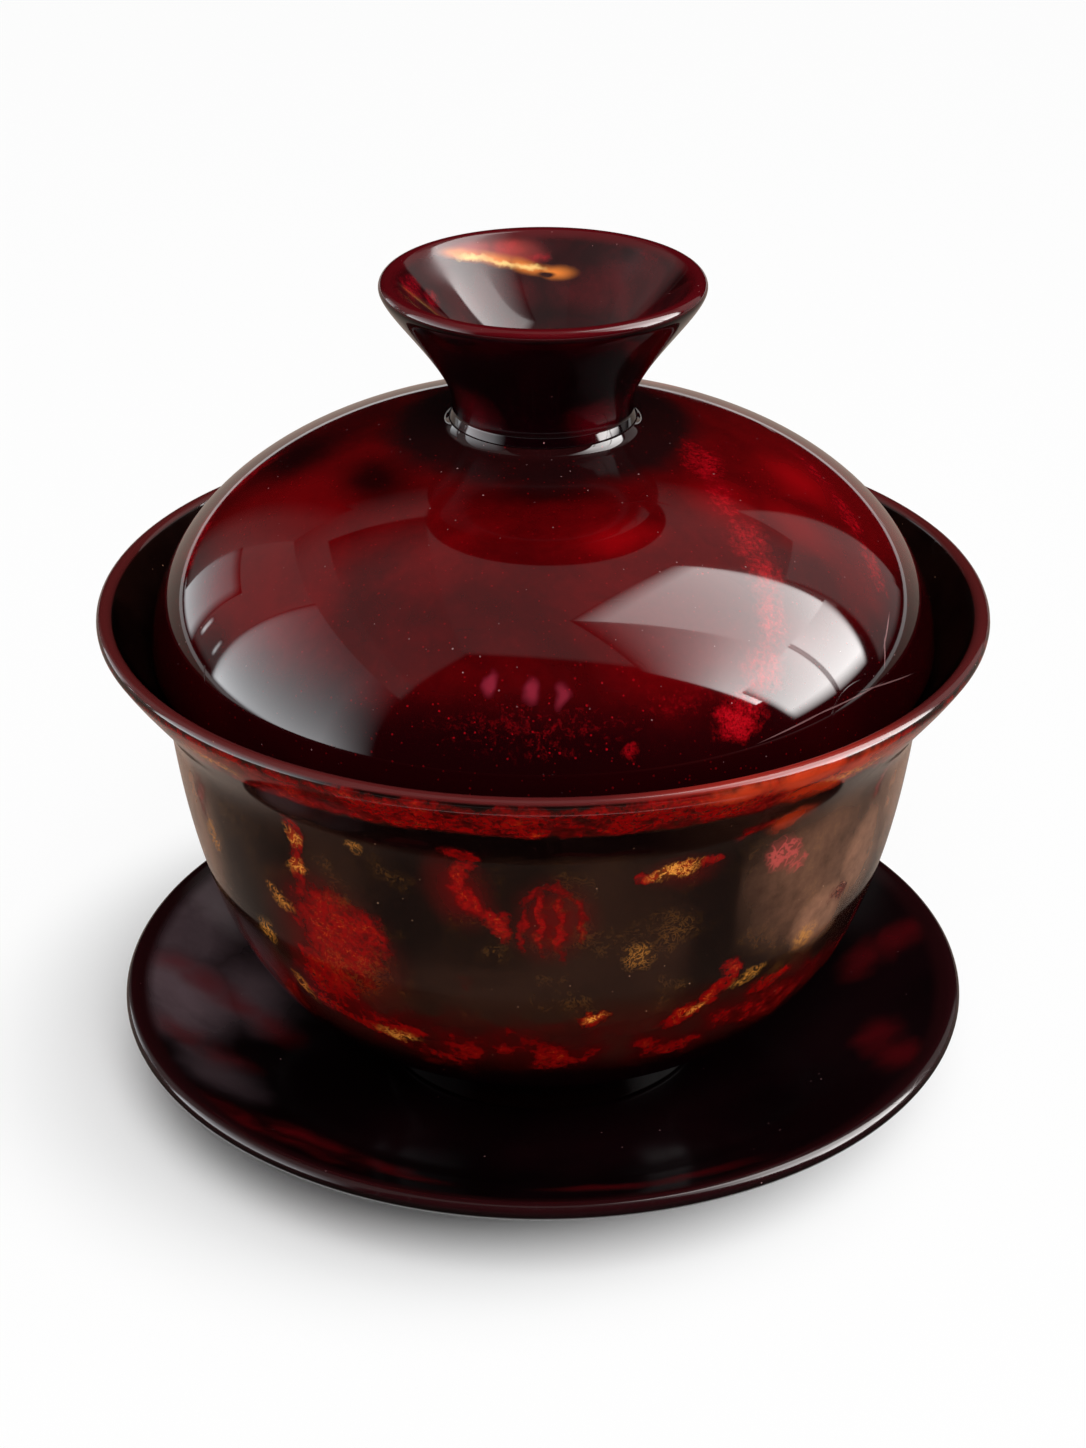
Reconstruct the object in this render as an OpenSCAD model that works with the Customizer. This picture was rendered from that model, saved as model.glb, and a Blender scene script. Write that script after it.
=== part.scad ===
// Lidded tea bowl turned from dark red amber: a saucer, a bowl with a flared rim, a domed lid
// that seats inside the flare, and a trumpet-shaped knob glued into the lid's crown.
// Millimetres, +Z up. The origin is the centre of the saucer's foot ring, on the table.

/* [Saucer] */
// How far the saucer's rim lies inside the bowl's rim, on each side
saucer_in = 0.3; // [-10:0.1:6]
// Height of the saucer's rim above the table
saucer_h = 13; // [11:0.25:20]
// Thickness of the dish, and of its rounded rim
saucer_wall = 2.1; // [1.4:0.1:3.5]
// Rise of the dish where it reaches the rim, in degrees from level
saucer_rim_angle = 26; // [15:1:45]
// How far the dish stays level before it starts to rise
saucer_level_reach = 13; // [6:0.5:16]
// How far in from the rim the dish keeps the slope of the rim
saucer_rim_reach = 9; // [4:0.5:12]
// Outer diameter of the saucer's foot ring
saucer_foot_d = 46; // [30:0.5:56]
// Height of the saucer's foot ring
saucer_foot_h = 2.4; // [1:0.1:5]
// Width of the saucer's foot ring
saucer_foot_w = 2.6; // [1.5:0.1:5]
// Level floor left round the bowl's foot
foot_margin = 2; // [0.5:0.25:5]

/* [Bowl] */
// Outer diameter of the bowl's rim
rim_d = 100; // [85:0.5:120]
// Height of the bowl from its foot to the top of its rim
bowl_h = 57.4; // [50:0.2:75]
// Thickness of the bowl's wall, and of its rounded rim
bowl_wall = 1.9; // [1.4:0.1:3]
// Rise of the flare where it reaches the rim, in degrees from level
rim_angle = 59; // [45:1:75]
// How far the rim stands out past the neck, on each side
flare_out = 7.5; // [4:0.25:11]
// Depth of the neck below the top of the rim
neck_drop = 13.9; // [10:0.1:18]
// Rise of the wall at the neck, in degrees from level
neck_angle = 84; // [78:1:90]
// How far below the rim the flare keeps its slope
flare_reach = 5.5; // [3:0.25:7]
// How far above the neck the wall keeps its slope
neck_reach = 4.5; // [2:0.25:6]
// How far below the neck the wall keeps its slope
shoulder_reach = 16; // [8:0.5:22]
// How far out from the foot the underside stays level
belly_reach = 15.8; // [8:0.2:20]
// Outer diameter of the bowl's foot where it stands
foot_d = 38.8; // [28:0.2:46]
// How far the foot's waist, just under the body, is drawn in on each side
waist_in = 0.9; // [0:0.1:2]
// Height of the foot
foot_h = 7; // [4:0.25:10]
// Width of the foot ring where it stands
foot_w = 2.8; // [1.5:0.1:5]
// Radius of the hollow between the waist and the body
waist_fillet = 1.5; // [0.5:0.1:3]

/* [Lid] */
// Depth of the middle of the lid's edge below the top of the rim
lid_drop = 5.3; // [3:0.1:7]
// Rise of the dome above the lid's edge
lid_rise = 26.1; // [18:0.1:34]
// How flat the crown is: 2 makes the dome half an ellipse, and more makes its crown flatter
crown_flat = 2.2; // [2:0.05:2.8]
// Thickness of the lid's wall
lid_wall = 2.2; // [1.5:0.1:3.5]
// Lid left under the knob's socket
crown_t = 1.6; // [0.8:0.1:3]
// Height of the raised collar that the knob stands on
collar_h = 0.8; // [0.5:0.1:2]
// How far the collar sweeps out onto the dome
collar_reach = 2.2; // [1.5:0.1:6]
// Rise of the collar's side where it reaches its flat top, in degrees from level
collar_angle = 62; // [45:1:85]
// Width of the collar's flat top outside the knob's bead
collar_ledge = 0.15; // [0.05:0.05:1]
// Room between the lid's edge and the flare that it seats in
seat_gap = 0.3; // [0.2:0.05:0.8]

/* [Knob] */
// Outer diameter of the knob's cup
knob_d = 35.4; // [28:0.2:44]
// Height of the knob above the collar
knob_h = 15.8; // [12:0.1:22]
// Thickness of the cup's rounded lip
knob_lip_t = 1.9; // [1.2:0.1:3]
// Rise of the knob's outside where it reaches the lip, in degrees from level
knob_lip_angle = 72; // [55:1:80]
// How far below the lip the knob's outside keeps its slope
knob_lip_reach = 2.5; // [1:0.1:6]
// Diameter of the knob's neck
knob_neck_d = 19.8; // [15:0.2:24]
// How far the neck runs straight up from the bead
knob_neck_reach = 4.9; // [2:0.1:8]
// How far the bead at the knob's base stands out past the neck
bead_out = 0.3; // [0.1:0.05:0.4]
// Diameter of the rod that would fill the bead's round
bead_h = 0.8; // [0.8:0.1:2]
// Depth of the cup below its lip
cup_depth = 11; // [6:0.25:13]
// Radius of the level spot at the bottom of the cup
cup_floor_r = 1.5; // [0.5:0.1:4]
// How far the cup's inside stays level past that spot
cup_floor_reach = 4.4; // [1:0.1:6]
// Rise of the cup's funnel wall, in degrees from level
cup_angle = 48; // [40:1:65]
// How far below the lip the funnel wall stays straight
cup_wall_reach = 11; // [4:0.5:12]
// Diameter of the tenon under the knob
tenon_d = 10; // [6:0.2:14]
// Length of the tenon
tenon_l = 2.4; // [1.5:0.1:4]
// Glue gap round the tenon and under it
tenon_gap = 0.1; // [0.05:0.01:0.2]

/* [Hidden] */
$fn = 96;
CURVE_STEPS = 20;
ARC_STEPS = 8;
HALVINGS = 30;

// Direction of a slope, and the side of it that faces the axis on the way up
function slope(angle) = [cos(angle), sin(angle)];
function inward(dir) = [-dir[1], dir[0]];
function reversed(points) = [for (i = [len(points) - 1 : -1 : 0]) points[i]];

// Point of a cubic curve, and its direction there
function bezier(p, t) =
    pow(1 - t, 3) * p[0] + 3 * pow(1 - t, 2) * t * p[1] + 3 * (1 - t) * t * t * p[2] + pow(t, 3) * p[3];
function bezier_dir(p, t) =
    let (d = pow(1 - t, 2) * (p[1] - p[0]) + 2 * (1 - t) * t * (p[2] - p[1]) + t * t * (p[3] - p[2]))
    d / norm(d);

// Points along a cubic curve, set in from it by a wall
function curve_point(p, t, inset) = bezier(p, t) + inset * inward(bezier_dir(p, t));
function curve(p, inset = 0) =
    [for (i = [0 : CURVE_STEPS]) curve_point(p, i / CURVE_STEPS, inset)];
function arc(centre, radius, from, to) =
    [for (i = [0 : ARC_STEPS]) centre + radius * slope(from + (to - from) * i / ARC_STEPS)];

// Rounded lip that ends a wall rising at an angle, from its outside to its inside
function lip(centre, radius, angle) = arc(centre, radius, angle - 90, angle + 90);
function lip_outside(centre, radius, angle) = centre - radius * inward(slope(angle));
function lip_inside(centre, radius, angle) = centre + radius * inward(slope(angle));

// Saucer: the heights of its floor and the middle of its rounded rim
saucer_lip_r = saucer_wall / 2;
floor_z = saucer_foot_h + saucer_wall;
level_r = max(saucer_foot_d / 2, foot_d / 2 + foot_margin);
saucer_lip = [rim_d / 2 - saucer_in - saucer_lip_r, saucer_h - saucer_lip_r];

// Upper face of the saucer's dish, from its level floor to its rim
saucer_lip_top = lip_inside(saucer_lip, saucer_lip_r, saucer_rim_angle);
dish = [
    [level_r, floor_z],
    [level_r + saucer_level_reach, floor_z],
    saucer_lip_top - saucer_rim_reach * slope(saucer_rim_angle),
    saucer_lip_top
];

// Bowl: it stands on the saucer's floor
bowl_lip_r = bowl_wall / 2;
foot_top = floor_z + foot_h;
rim_top = floor_z + bowl_h;
bowl_lip = [rim_d / 2 - bowl_lip_r, rim_top - bowl_lip_r];
waist_r = foot_d / 2 - waist_in;
neck = [rim_d / 2 - flare_out, rim_top - neck_drop];
foot_inner_r = foot_d / 2 - foot_w;

// Outside of the bowl: the body from the foot up to the neck, then the flare up to the rim
body = [
    [waist_r + waist_fillet, foot_top],
    [waist_r + waist_fillet + belly_reach, foot_top],
    neck - shoulder_reach * slope(neck_angle),
    neck
];
rim_edge = lip_outside(bowl_lip, bowl_lip_r, rim_angle);
flare = [
    neck,
    neck + neck_reach * slope(neck_angle),
    rim_edge - flare_reach * slope(rim_angle),
    rim_edge
];

// Where the middle of the lid's edge lies when it seats beside a point of the flare
function seat_point(t) = curve_point(flare, t, seat_inset);
function seat_t(z, low = 0, high = 1, left = HALVINGS) =
    let (mid = (low + high) / 2)
    left == 0 ? mid
    : seat_point(mid)[1] < z ? seat_t(z, mid, high, left - 1)
    : seat_t(z, low, mid, left - 1);

// Lid: its rounded edge touches no more than the seat gap of the flare
lid_edge_r = lid_wall / 2;
seat_inset = bowl_wall + seat_gap + lid_edge_r;
lid_edge = seat_point(seat_t(rim_top - lid_drop));
dome_r = lid_edge[0] + lid_edge_r;

// Dome of the lid: half of a flattened ellipse that stands on the middle of the lid's edge
function dome_point(across, rise, angle) =
    [across * pow(cos(angle), 2 / crown_flat), lid_edge[1] + rise * sin(angle)];
function dome_arc(across, rise, from, to) =
    [for (i = [0 : CURVE_STEPS]) dome_point(across, rise, from + (to - from) * i / CURVE_STEPS)];
function dome_angle(r) = acos(pow(r / dome_r, crown_flat / 2));
function dome_z(r) = lid_edge[1] + lid_rise * sin(dome_angle(r));
function dome_slope(r) =
    atan(lid_rise * crown_flat * pow(r / dome_r, crown_flat - 1) / (2 * dome_r * sin(dome_angle(r))));

// Knob: its bead stands on the collar's flat top
knob_neck_r = knob_neck_d / 2;
bead_r = knob_neck_r + bead_out;
land_r = bead_r + collar_ledge;
land_z = dome_z(land_r) + collar_h;
socket_r = tenon_d / 2 + tenon_gap;
socket_z = land_z - tenon_l - tenon_gap;
knob_lip_r = knob_lip_t / 2;
knob_top = land_z + knob_h;
knob_lip = [knob_d / 2 - knob_lip_r, knob_top - knob_lip_r];

// Hollow side of the collar, from the dome up to the ledge round the knob's bead
collar_foot_r = land_r + collar_reach;
collar_foot = [collar_foot_r, dome_z(collar_foot_r)];
collar = [
    collar_foot,
    collar_foot + (collar_reach / 2) * slope(180 - dome_slope(collar_foot_r)),
    [land_r, land_z] - (collar_reach / 3) * slope(180 - collar_angle),
    [land_r, land_z]
];

// Bead: its middle, and the angle on its round at which it meets the neck
bead_round_r = bead_h / 2;
bead = [bead_r - bead_round_r, land_z + bead_round_r];
bead_end = acos(1 - bead_out / bead_round_r);
neck_z = bead[1] + bead_round_r * sin(bead_end);

// Outside of the knob, and the funnel of its cup
knob_edge = lip_outside(knob_lip, knob_lip_r, knob_lip_angle);
cup_edge = lip_inside(knob_lip, knob_lip_r, cup_angle);
cup_z = knob_top - cup_depth;
trumpet = [
    [knob_neck_r, neck_z],
    [knob_neck_r, neck_z + knob_neck_reach],
    knob_edge - knob_lip_reach * slope(knob_lip_angle),
    knob_edge
];
cup = [
    [cup_floor_r, cup_z],
    [cup_floor_r + cup_floor_reach, cup_z],
    cup_edge - cup_wall_reach * slope(cup_angle),
    cup_edge
];

// Shallow dish on a low foot ring
module saucer() {
    foot_r = saucer_foot_d / 2;
    color("#24100f")
    rotate_extrude()
    polygon(concat(
        [[0, saucer_foot_h], [foot_r - saucer_foot_w, saucer_foot_h]],
        [[foot_r - saucer_foot_w, 0], [foot_r, 0], [foot_r, saucer_foot_h]],
        curve(dish, -saucer_wall),
        lip(saucer_lip, saucer_lip_r, saucer_rim_angle),
        reversed(curve(dish)),
        [[0, floor_z]]
    ));
}

// Thin bowl with a flared rim, on a waisted foot that is hollow underneath
module bowl() {
    color("#35180f")
    rotate_extrude()
    polygon(concat(
        [[0, foot_top], [foot_inner_r, foot_top], [foot_inner_r, floor_z], [foot_d / 2, floor_z]],
        arc([waist_r + waist_fillet, foot_top - waist_fillet], waist_fillet, 180, 90),
        curve(body),
        curve(flare),
        lip(bowl_lip, bowl_lip_r, rim_angle),
        reversed(curve(flare, bowl_wall)),
        reversed(curve(body, bowl_wall)),
        [[0, foot_top + bowl_wall]]
    ));
}

// Domed shell with a rounded edge, and a collar and a blind socket at its crown
module lid() {
    inner_rise = socket_z - crown_t - lid_edge[1];
    color("#5c0b18")
    rotate_extrude()
    polygon(concat(
        dome_arc(dome_r - lid_wall, inner_rise, 90, 0),
        arc(lid_edge, lid_edge_r, 180, 360),
        dome_arc(dome_r, lid_rise, 0, dome_angle(collar_foot_r)),
        curve(collar),
        [[socket_r, land_z], [socket_r, socket_z], [0, socket_z]]
    ));
}

// Trumpet-shaped knob with a hollow cup, a bead at its base and a tenon under it
module lid_knob() {
    tenon_r = tenon_d / 2;
    color("#4a0812")
    rotate_extrude()
    polygon(concat(
        [[0, land_z - tenon_l], [tenon_r, land_z - tenon_l], [tenon_r, land_z]],
        arc(bead, bead_round_r, -90, bead_end),
        curve(trumpet),
        arc(knob_lip, knob_lip_r, knob_lip_angle - 90, cup_angle + 90),
        reversed(curve(cup)),
        [[0, cup_z]]
    ));
}

saucer();
bowl();
lid();
lid_knob();
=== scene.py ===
# %% [markdown]
# # A lidded tea bowl turned from dark red amber
# The real set is four turned pieces: a saucer, a bowl with a flared rim, a domed lid that drops inside the
# flare, and a trumpet-shaped knob glued to the lid's crown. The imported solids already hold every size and
# place.

# %% Load the frame
import math

import bmesh
import bpy
from mathutils import Matrix, Vector, noise


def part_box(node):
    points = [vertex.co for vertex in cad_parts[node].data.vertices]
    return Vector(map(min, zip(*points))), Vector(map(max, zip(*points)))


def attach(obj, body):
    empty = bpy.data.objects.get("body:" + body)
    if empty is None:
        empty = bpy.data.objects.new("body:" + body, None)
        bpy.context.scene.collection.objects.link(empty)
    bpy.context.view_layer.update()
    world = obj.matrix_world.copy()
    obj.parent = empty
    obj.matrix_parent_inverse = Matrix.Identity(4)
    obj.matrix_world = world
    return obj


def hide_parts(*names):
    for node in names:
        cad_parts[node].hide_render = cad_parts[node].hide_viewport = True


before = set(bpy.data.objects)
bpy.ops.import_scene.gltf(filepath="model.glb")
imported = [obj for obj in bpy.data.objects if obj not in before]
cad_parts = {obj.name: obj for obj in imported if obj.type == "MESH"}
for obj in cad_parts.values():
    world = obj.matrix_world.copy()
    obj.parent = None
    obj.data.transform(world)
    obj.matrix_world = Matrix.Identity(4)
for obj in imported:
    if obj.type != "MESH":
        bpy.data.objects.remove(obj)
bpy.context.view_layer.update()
scene = bpy.context.scene

# %% [markdown]
# ## The camera
# The photograph looks down on the set by about 27 degrees from close by, so its near rim looks wider than
# its far one. A camera could be placed by eye, but the rims' ellipses fix it: their widths and heights give
# the angle, the distance and the lens. Depth of field stays off, and the image's long side takes the whole
# sensor.

# %% Place the camera
CAMERA_HEIGHT = 27.274  # degrees above level
CAMERA_DISTANCE = 0.34547
CAMERA_TARGET = Vector((0, 0, 0.0448))
CAMERA_LENS = 74.56  # millimetres, for a sensor 36 mm along the image's long side

camera_data = bpy.data.cameras.new("camera")
camera_data.lens = CAMERA_LENS
camera_data.clip_start = 0.01
camera = bpy.data.objects.new("camera", camera_data)
rise = math.radians(CAMERA_HEIGHT)
camera.location = CAMERA_TARGET + CAMERA_DISTANCE * Vector((0, -math.cos(rise), math.sin(rise)))
camera.rotation_euler = (math.pi / 2 - rise, 0, 0)
scene.collection.objects.link(camera)
scene.camera = camera
scene.view_settings.view_transform = "Standard"
print("camera at", [round(c, 4) for c in camera.location])

# %% [markdown]
# ## Small helpers for shader nodes
# Every finish here is a web of shader nodes. Written out one call at a time, a web is long and hard to
# read, so a few helpers add a node, do a sum, mix two colours, draw clouds and place a shared group. Each
# takes plain numbers or the output of another node, which it links.

# %% Node helpers
BLACK, WHITE = (0.0, 0.0, 0.0, 1.0), (1.0, 1.0, 1.0, 1.0)
VALUE_SUMS = ("LENGTH", "DISTANCE", "DOT_PRODUCT")


def srgb(red, green, blue):
    """A colour as a paint chart gives it, 0 to 255, in the linear values that the shaders use."""
    def linear(c):
        c /= 255
        return c / 12.92 if c <= 0.04045 else ((c + 0.055) / 1.055) ** 2.4
    return (linear(red), linear(green), linear(blue), 1.0)


def node(tree, kind, inputs=None, **settings):
    """Adds a shader node, sets it up, and links or sets its inputs, by name or by number."""
    made = tree.nodes.new("ShaderNode" + kind)
    for key, value in settings.items():
        setattr(made, key, value)
    for key, value in (inputs or {}).items():
        if isinstance(value, bpy.types.NodeSocket):
            tree.links.new(value, made.inputs[key])
        else:
            made.inputs[key].default_value = value
    return made


def maths(tree, operation, *values, clamp=False):
    """One sum on up to three values."""
    return node(tree, "Math", dict(enumerate(values)), operation=operation, use_clamp=clamp).outputs[0]


def times(tree, first, second, clamp=False):
    """Two values multiplied, which is how one mask is cut by another."""
    return maths(tree, "MULTIPLY", first, second, clamp=clamp)


def vectors(tree, operation, *values):
    """One sum on vectors. A length, a distance or a dot product comes out as a value."""
    made = node(tree, "VectorMath", dict(enumerate(values)), operation=operation)
    return made.outputs["Value" if operation in VALUE_SUMS else "Vector"]


def span(tree, value, start, end, low=0.0, high=1.0):
    """Runs a value smoothly from low to high as it goes from start to end."""
    inputs = {"Value": value, "From Min": start, "From Max": end, "To Min": low, "To Max": high}
    return node(tree, "MapRange", inputs, interpolation_type="SMOOTHSTEP").outputs["Result"]


def blend(tree, factor, first, second):
    """Mixes two colours."""
    return node(tree, "Mix", {0: factor, 6: first, 7: second}, data_type="RGBA").outputs[2]


def clouds(tree, vector, scale, detail, roughness=0.5, distortion=0.0):
    """A soft noise between nought and one; the scale is about how many clouds fit in a metre."""
    inputs = {"Vector": vector, "Scale": scale, "Detail": detail, "Roughness": roughness,
              "Distortion": distortion}
    return node(tree, "TexNoise", inputs).outputs["Fac"]


def ridge(tree, cloud, width, rest=0.0):
    """Thin bright lines where a noise crosses its middle."""
    return span(tree, maths(tree, "ABSOLUTE", maths(tree, "SUBTRACT", cloud, 0.5)), 0.0, width, 1.0, rest)


def new_group(name, inputs, outputs):
    """An empty node group. An input's value says its kind: a number, a colour, or None for a vector."""
    tree = bpy.data.node_groups.new(name, "ShaderNodeTree")
    for label, value in inputs.items():
        kind = "Vector" if value is None else "Color" if isinstance(value, tuple) else "Float"
        socket = tree.interface.new_socket(label, in_out="INPUT", socket_type="NodeSocket" + kind)
        if value is not None:
            socket.default_value = value
    for label, kind in outputs.items():
        tree.interface.new_socket(label, in_out="OUTPUT", socket_type="NodeSocket" + kind)
    return tree, tree.nodes.new("NodeGroupInput").outputs, tree.nodes.new("NodeGroupOutput").inputs


def use(tree, group, **inputs):
    """Places a shared group in a material and returns its outputs."""
    return node(tree, "Group", inputs, node_tree=group).outputs


print("node helpers ready")

# %% [markdown]
# ## The floor
# The set stands on a plain white sheet that keeps only a small soft shadow. Near the set the sheet is plain
# paper, so it takes the shadow. Farther out it turns to plain white for the camera, in gloss and through
# glass, as an overlit backdrop does.

# %% Lay the floor
FLOOR_R = 2.8
FLOOR_EDGES = 96
SHADOW_CENTRE = (-0.010, 0.006, 0.0)  # the shadow lies a little to the left
SHADOW_NEAR, SHADOW_FAR = 0.036, 0.066
WHITE_SHARE = 0.93


def stage_mesh(name, corners, faces):
    """A mesh that only dresses the studio."""
    mesh = bpy.data.meshes.new(name)
    mesh.from_pydata(corners, [], faces)
    piece = bpy.data.objects.new(name, mesh)
    scene.collection.objects.link(piece)
    return piece


def ring(radius, height, turns):
    """Points round the axis."""
    return [(radius * math.cos(t), radius * math.sin(t), height) for t in turns]


def seen_rays(tree):
    """One for rays from the camera, from gloss and through glass, nought for light that bounces."""
    path = node(tree, "LightPath").outputs
    seen = maths(tree, "MAXIMUM", path["Is Camera Ray"], path["Is Glossy Ray"])
    return maths(tree, "MAXIMUM", seen, path["Is Transmission Ray"])


floor_turns = [2 * math.pi * i / FLOOR_EDGES for i in range(FLOOR_EDGES)]
floor = stage_mesh("floor", ring(FLOOR_R, 0, floor_turns), [range(FLOOR_EDGES)])
paper = bpy.data.materials.new("white_sheet")
paper.use_nodes = True
tree = paper.node_tree
sheet = tree.nodes["Principled BSDF"]
place = node(tree, "TexCoord").outputs["Object"]
fibre = clouds(tree, place, 30.0, 4.0)
tree.links.new(blend(tree, fibre, (0.93, 0.93, 0.93, 1), (0.95, 0.95, 0.95, 1)), sheet.inputs["Base Color"])
sheet.inputs["Roughness"].default_value = 0.9
sheet.inputs["Specular IOR Level"].default_value = 0.0
away = vectors(tree, "DISTANCE", place, SHADOW_CENTRE)
white = times(tree, span(tree, away, SHADOW_NEAR, SHADOW_FAR, 0.0, WHITE_SHARE), seen_rays(tree))
backdrop = node(tree, "Emission", {"Color": WHITE, "Strength": 1.0}).outputs[0]
mixed = node(tree, "MixShader", {0: white, 1: sheet.outputs[0], 2: backdrop}).outputs[0]
tree.links.new(mixed, tree.nodes["Material Output"].inputs["Surface"])
floor.data.materials.append(paper)
print("floor laid,", FLOOR_R * 2, "m across")

# %% [markdown]
# ## Light for the colours
# Two wide soft boxes, one in front and one at the right, with a little light from all round, make the
# colours render as they are written. The front box reaches under the saucer's rim, so the shadow stays
# small, and the right one throws a faint shadow to the left. The world is white to the camera, in gloss and
# through glass. Neither box shows in the gloss: polished amber mirrors the room, and that room is built
# apart in the next step.

# %% Light the colours
BOX_DISTANCE = 1.4
FRONT_BOX = {"turn": 6, "height": 50, "side": 0.75, "power": 14.0}
RIGHT_BOX = {"turn": 80, "height": 56, "side": 0.80, "power": 3.6}
SKY_FILL = 0.32


def soft_box(name, turn, height, side, power):
    """A square lamp that faces the set: turn is degrees round from the front to the right."""
    data = bpy.data.lights.new(name, "AREA")
    data.energy = power
    data.size = side
    lamp = bpy.data.objects.new(name, data)
    tipped = Matrix.Rotation(math.radians(90 - height), 3, "X")
    facing = Matrix.Rotation(math.radians(turn), 3, "Z") @ tipped
    lamp.location = facing @ Vector((0, 0, BOX_DISTANCE))
    lamp.rotation_euler = facing.to_euler()
    lamp.visible_glossy = False
    lamp.visible_camera = False
    scene.collection.objects.link(lamp)


soft_box("front_box", **FRONT_BOX)
soft_box("right_box", **RIGHT_BOX)
world = bpy.data.worlds.new("studio")
world.use_nodes = True
scene.world = world
tree = world.node_tree
sky = tree.nodes["Background"].inputs
sky["Color"].default_value = WHITE
tree.links.new(maths(tree, "MAXIMUM", seen_rays(tree), SKY_FILL), sky["Strength"])

# %% [markdown]
# ## A room for the gloss
# The photographed lid mirrors a dim room: a hazy ceiling, a bright window with its lit reveal at the right,
# a paler wall with a window at the left, and a dark front. A black tent and glowing panes hung inside it
# stand for that room. They are seen only in reflections, so they neither colour the floor nor block the
# lamps. Each pane is four corners with a brightness at each, because a flat even card looks like cut paper
# in the gloss. In a reflection of a reflection the panes are dimmed, which keeps the collar and the bowl's
# inside dark.

# %% Panes that glow
PANE_STEPS = 20
SECOND_MIRROR = 0.12  # how much of a pane is left in the reflection of a reflection


def glow(name):
    """A surface that shines by the brightness kept at its points."""
    material = bpy.data.materials.new(name)
    material.use_nodes = True
    tree = material.node_tree
    tree.nodes.clear()
    kept = node(tree, "Attribute", attribute_name="glow").outputs["Color"]
    mirrors = node(tree, "LightPath").outputs["Ray Depth"]
    strength = span(tree, mirrors, 1, 2, 1.0, SECOND_MIRROR)
    light = node(tree, "Emission", {"Color": kept, "Strength": strength})
    node(tree, "OutputMaterial", {"Surface": light.outputs[0]})
    return material


def only_in_gloss(piece, colours):
    """Gives each point of a stage mesh its glow, and hides the mesh from all but reflections."""
    kept = piece.data.color_attributes.new("glow", "FLOAT_COLOR", "POINT")
    for slot, colour in zip(kept.data, colours):
        slot.color = (*colour, 1.0)
    piece.data.materials.append(glow(piece.name))
    piece.visible_camera = False
    piece.visible_diffuse = False
    piece.visible_shadow = False
    piece.visible_volume_scatter = False


def grid_faces(across, along):
    """Quads of a grid whose points run along each row in turn."""
    return [(r * across + i, r * across + i + 1, (r + 1) * across + i + 1, (r + 1) * across + i)
            for r in range(along - 1) for i in range(across - 1)]


def pane(name, corners, levels, tint, fades):
    """A graded pane: four corners in order round it, the brightness at each, and each edge's fade.

    Between corners the brightness falls by ratios, as light does away from a window. The edges run from
    the first corner to the second, and so on round; a fade is a share of the pane.
    """
    points, colours = [], []
    corners = [Vector(c) for c in corners]
    for i in range(PANE_STEPS + 1):
        for j in range(PANE_STEPS + 1):
            u, v = (edge_crowded(k / PANE_STEPS) for k in (i, j))
            shares = ((1 - u) * (1 - v), u * (1 - v), u * v, (1 - u) * v)
            points.append(sum((s * c for s, c in zip(shares, corners)), Vector((0, 0, 0))))
            level = math.exp(sum(s * math.log(b) for s, b in zip(shares, levels)))
            for inside, fade in zip((v, 1 - u, 1 - v, u), fades):
                level *= min(1.0, inside / fade) if fade else 1.0
            colours.append([level * c for c in tint])
    piece = stage_mesh(name, points, grid_faces(PANE_STEPS + 1, PANE_STEPS + 1))
    only_in_gloss(piece, colours)


def edge_crowded(share):
    """Moves grid lines towards both edges, where a pane fades."""
    return 0.5 - 0.5 * math.cos(math.pi * share)


print("panes can be hung")

# %% Hang the tent and lay the cloth
TENT_R = 2.7
TENT_RINGS = 12
CLOTH_NEAR, CLOTH_FAR, CLOTH_LIFT = 0.0515, 1.2, 0.0002
CLOTH_FRONT, CLOTH_BACK = 0.05, 0.40
BLACK_CLOTH = (0.004, 0.0035, 0.0035)
BROWN_CLOTH = (1.0, 0.80, 0.68)

turns = [2 * math.pi * i / FLOOR_EDGES for i in range(FLOOR_EDGES + 1)]
rises = [math.pi / 2 * i / TENT_RINGS for i in range(TENT_RINGS + 1)]
tent_points = [p for h in rises for p in ring(TENT_R * math.cos(h), TENT_R * math.sin(h), turns)]
tent = stage_mesh("black_tent", tent_points, grid_faces(len(turns), len(rises)))
only_in_gloss(tent, [BLACK_CLOTH] * len(tent_points))

cloth_points = ring(CLOTH_NEAR, CLOTH_LIFT, turns) + ring(CLOTH_FAR, CLOTH_LIFT, turns)
cloth = stage_mesh("brown_cloth", cloth_points, grid_faces(len(turns), 2))
cloth_levels = [CLOTH_FRONT + (CLOTH_BACK - CLOTH_FRONT) * min(1, max(0, 0.25 + 0.75 * math.sin(t)))
                for t in turns]
only_in_gloss(cloth, [[level * c for c in BROWN_CLOTH] for level in cloth_levels * 2])
print("tent", TENT_R, "m, cloth", CLOTH_FAR, "m")

# %% Hang the panes
LID_LEVEL = 0.07  # the panes' directions are taken from the middle of the lid
WARM, PLAIN, COOL = (1.0, 0.93, 0.90), (1.0, 0.98, 0.97), (0.93, 0.97, 1.0)


def ceiling(*points, drop=0.0):
    """Places on a ceiling one metre above the lid: to the right and to the back."""
    return [(x, y, LID_LEVEL + 1 - drop) for x, y in points]


def side_wall(x, *points):
    """Places on a wall at the left or right of the set: to the back and up."""
    return [(x, y, LID_LEVEL + z) for y, z in points]


def back_wall(*points):
    """Places on a wall one metre behind the set: to the right and up."""
    return [(x, 1.0, LID_LEVEL + z) for x, z in points]


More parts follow.
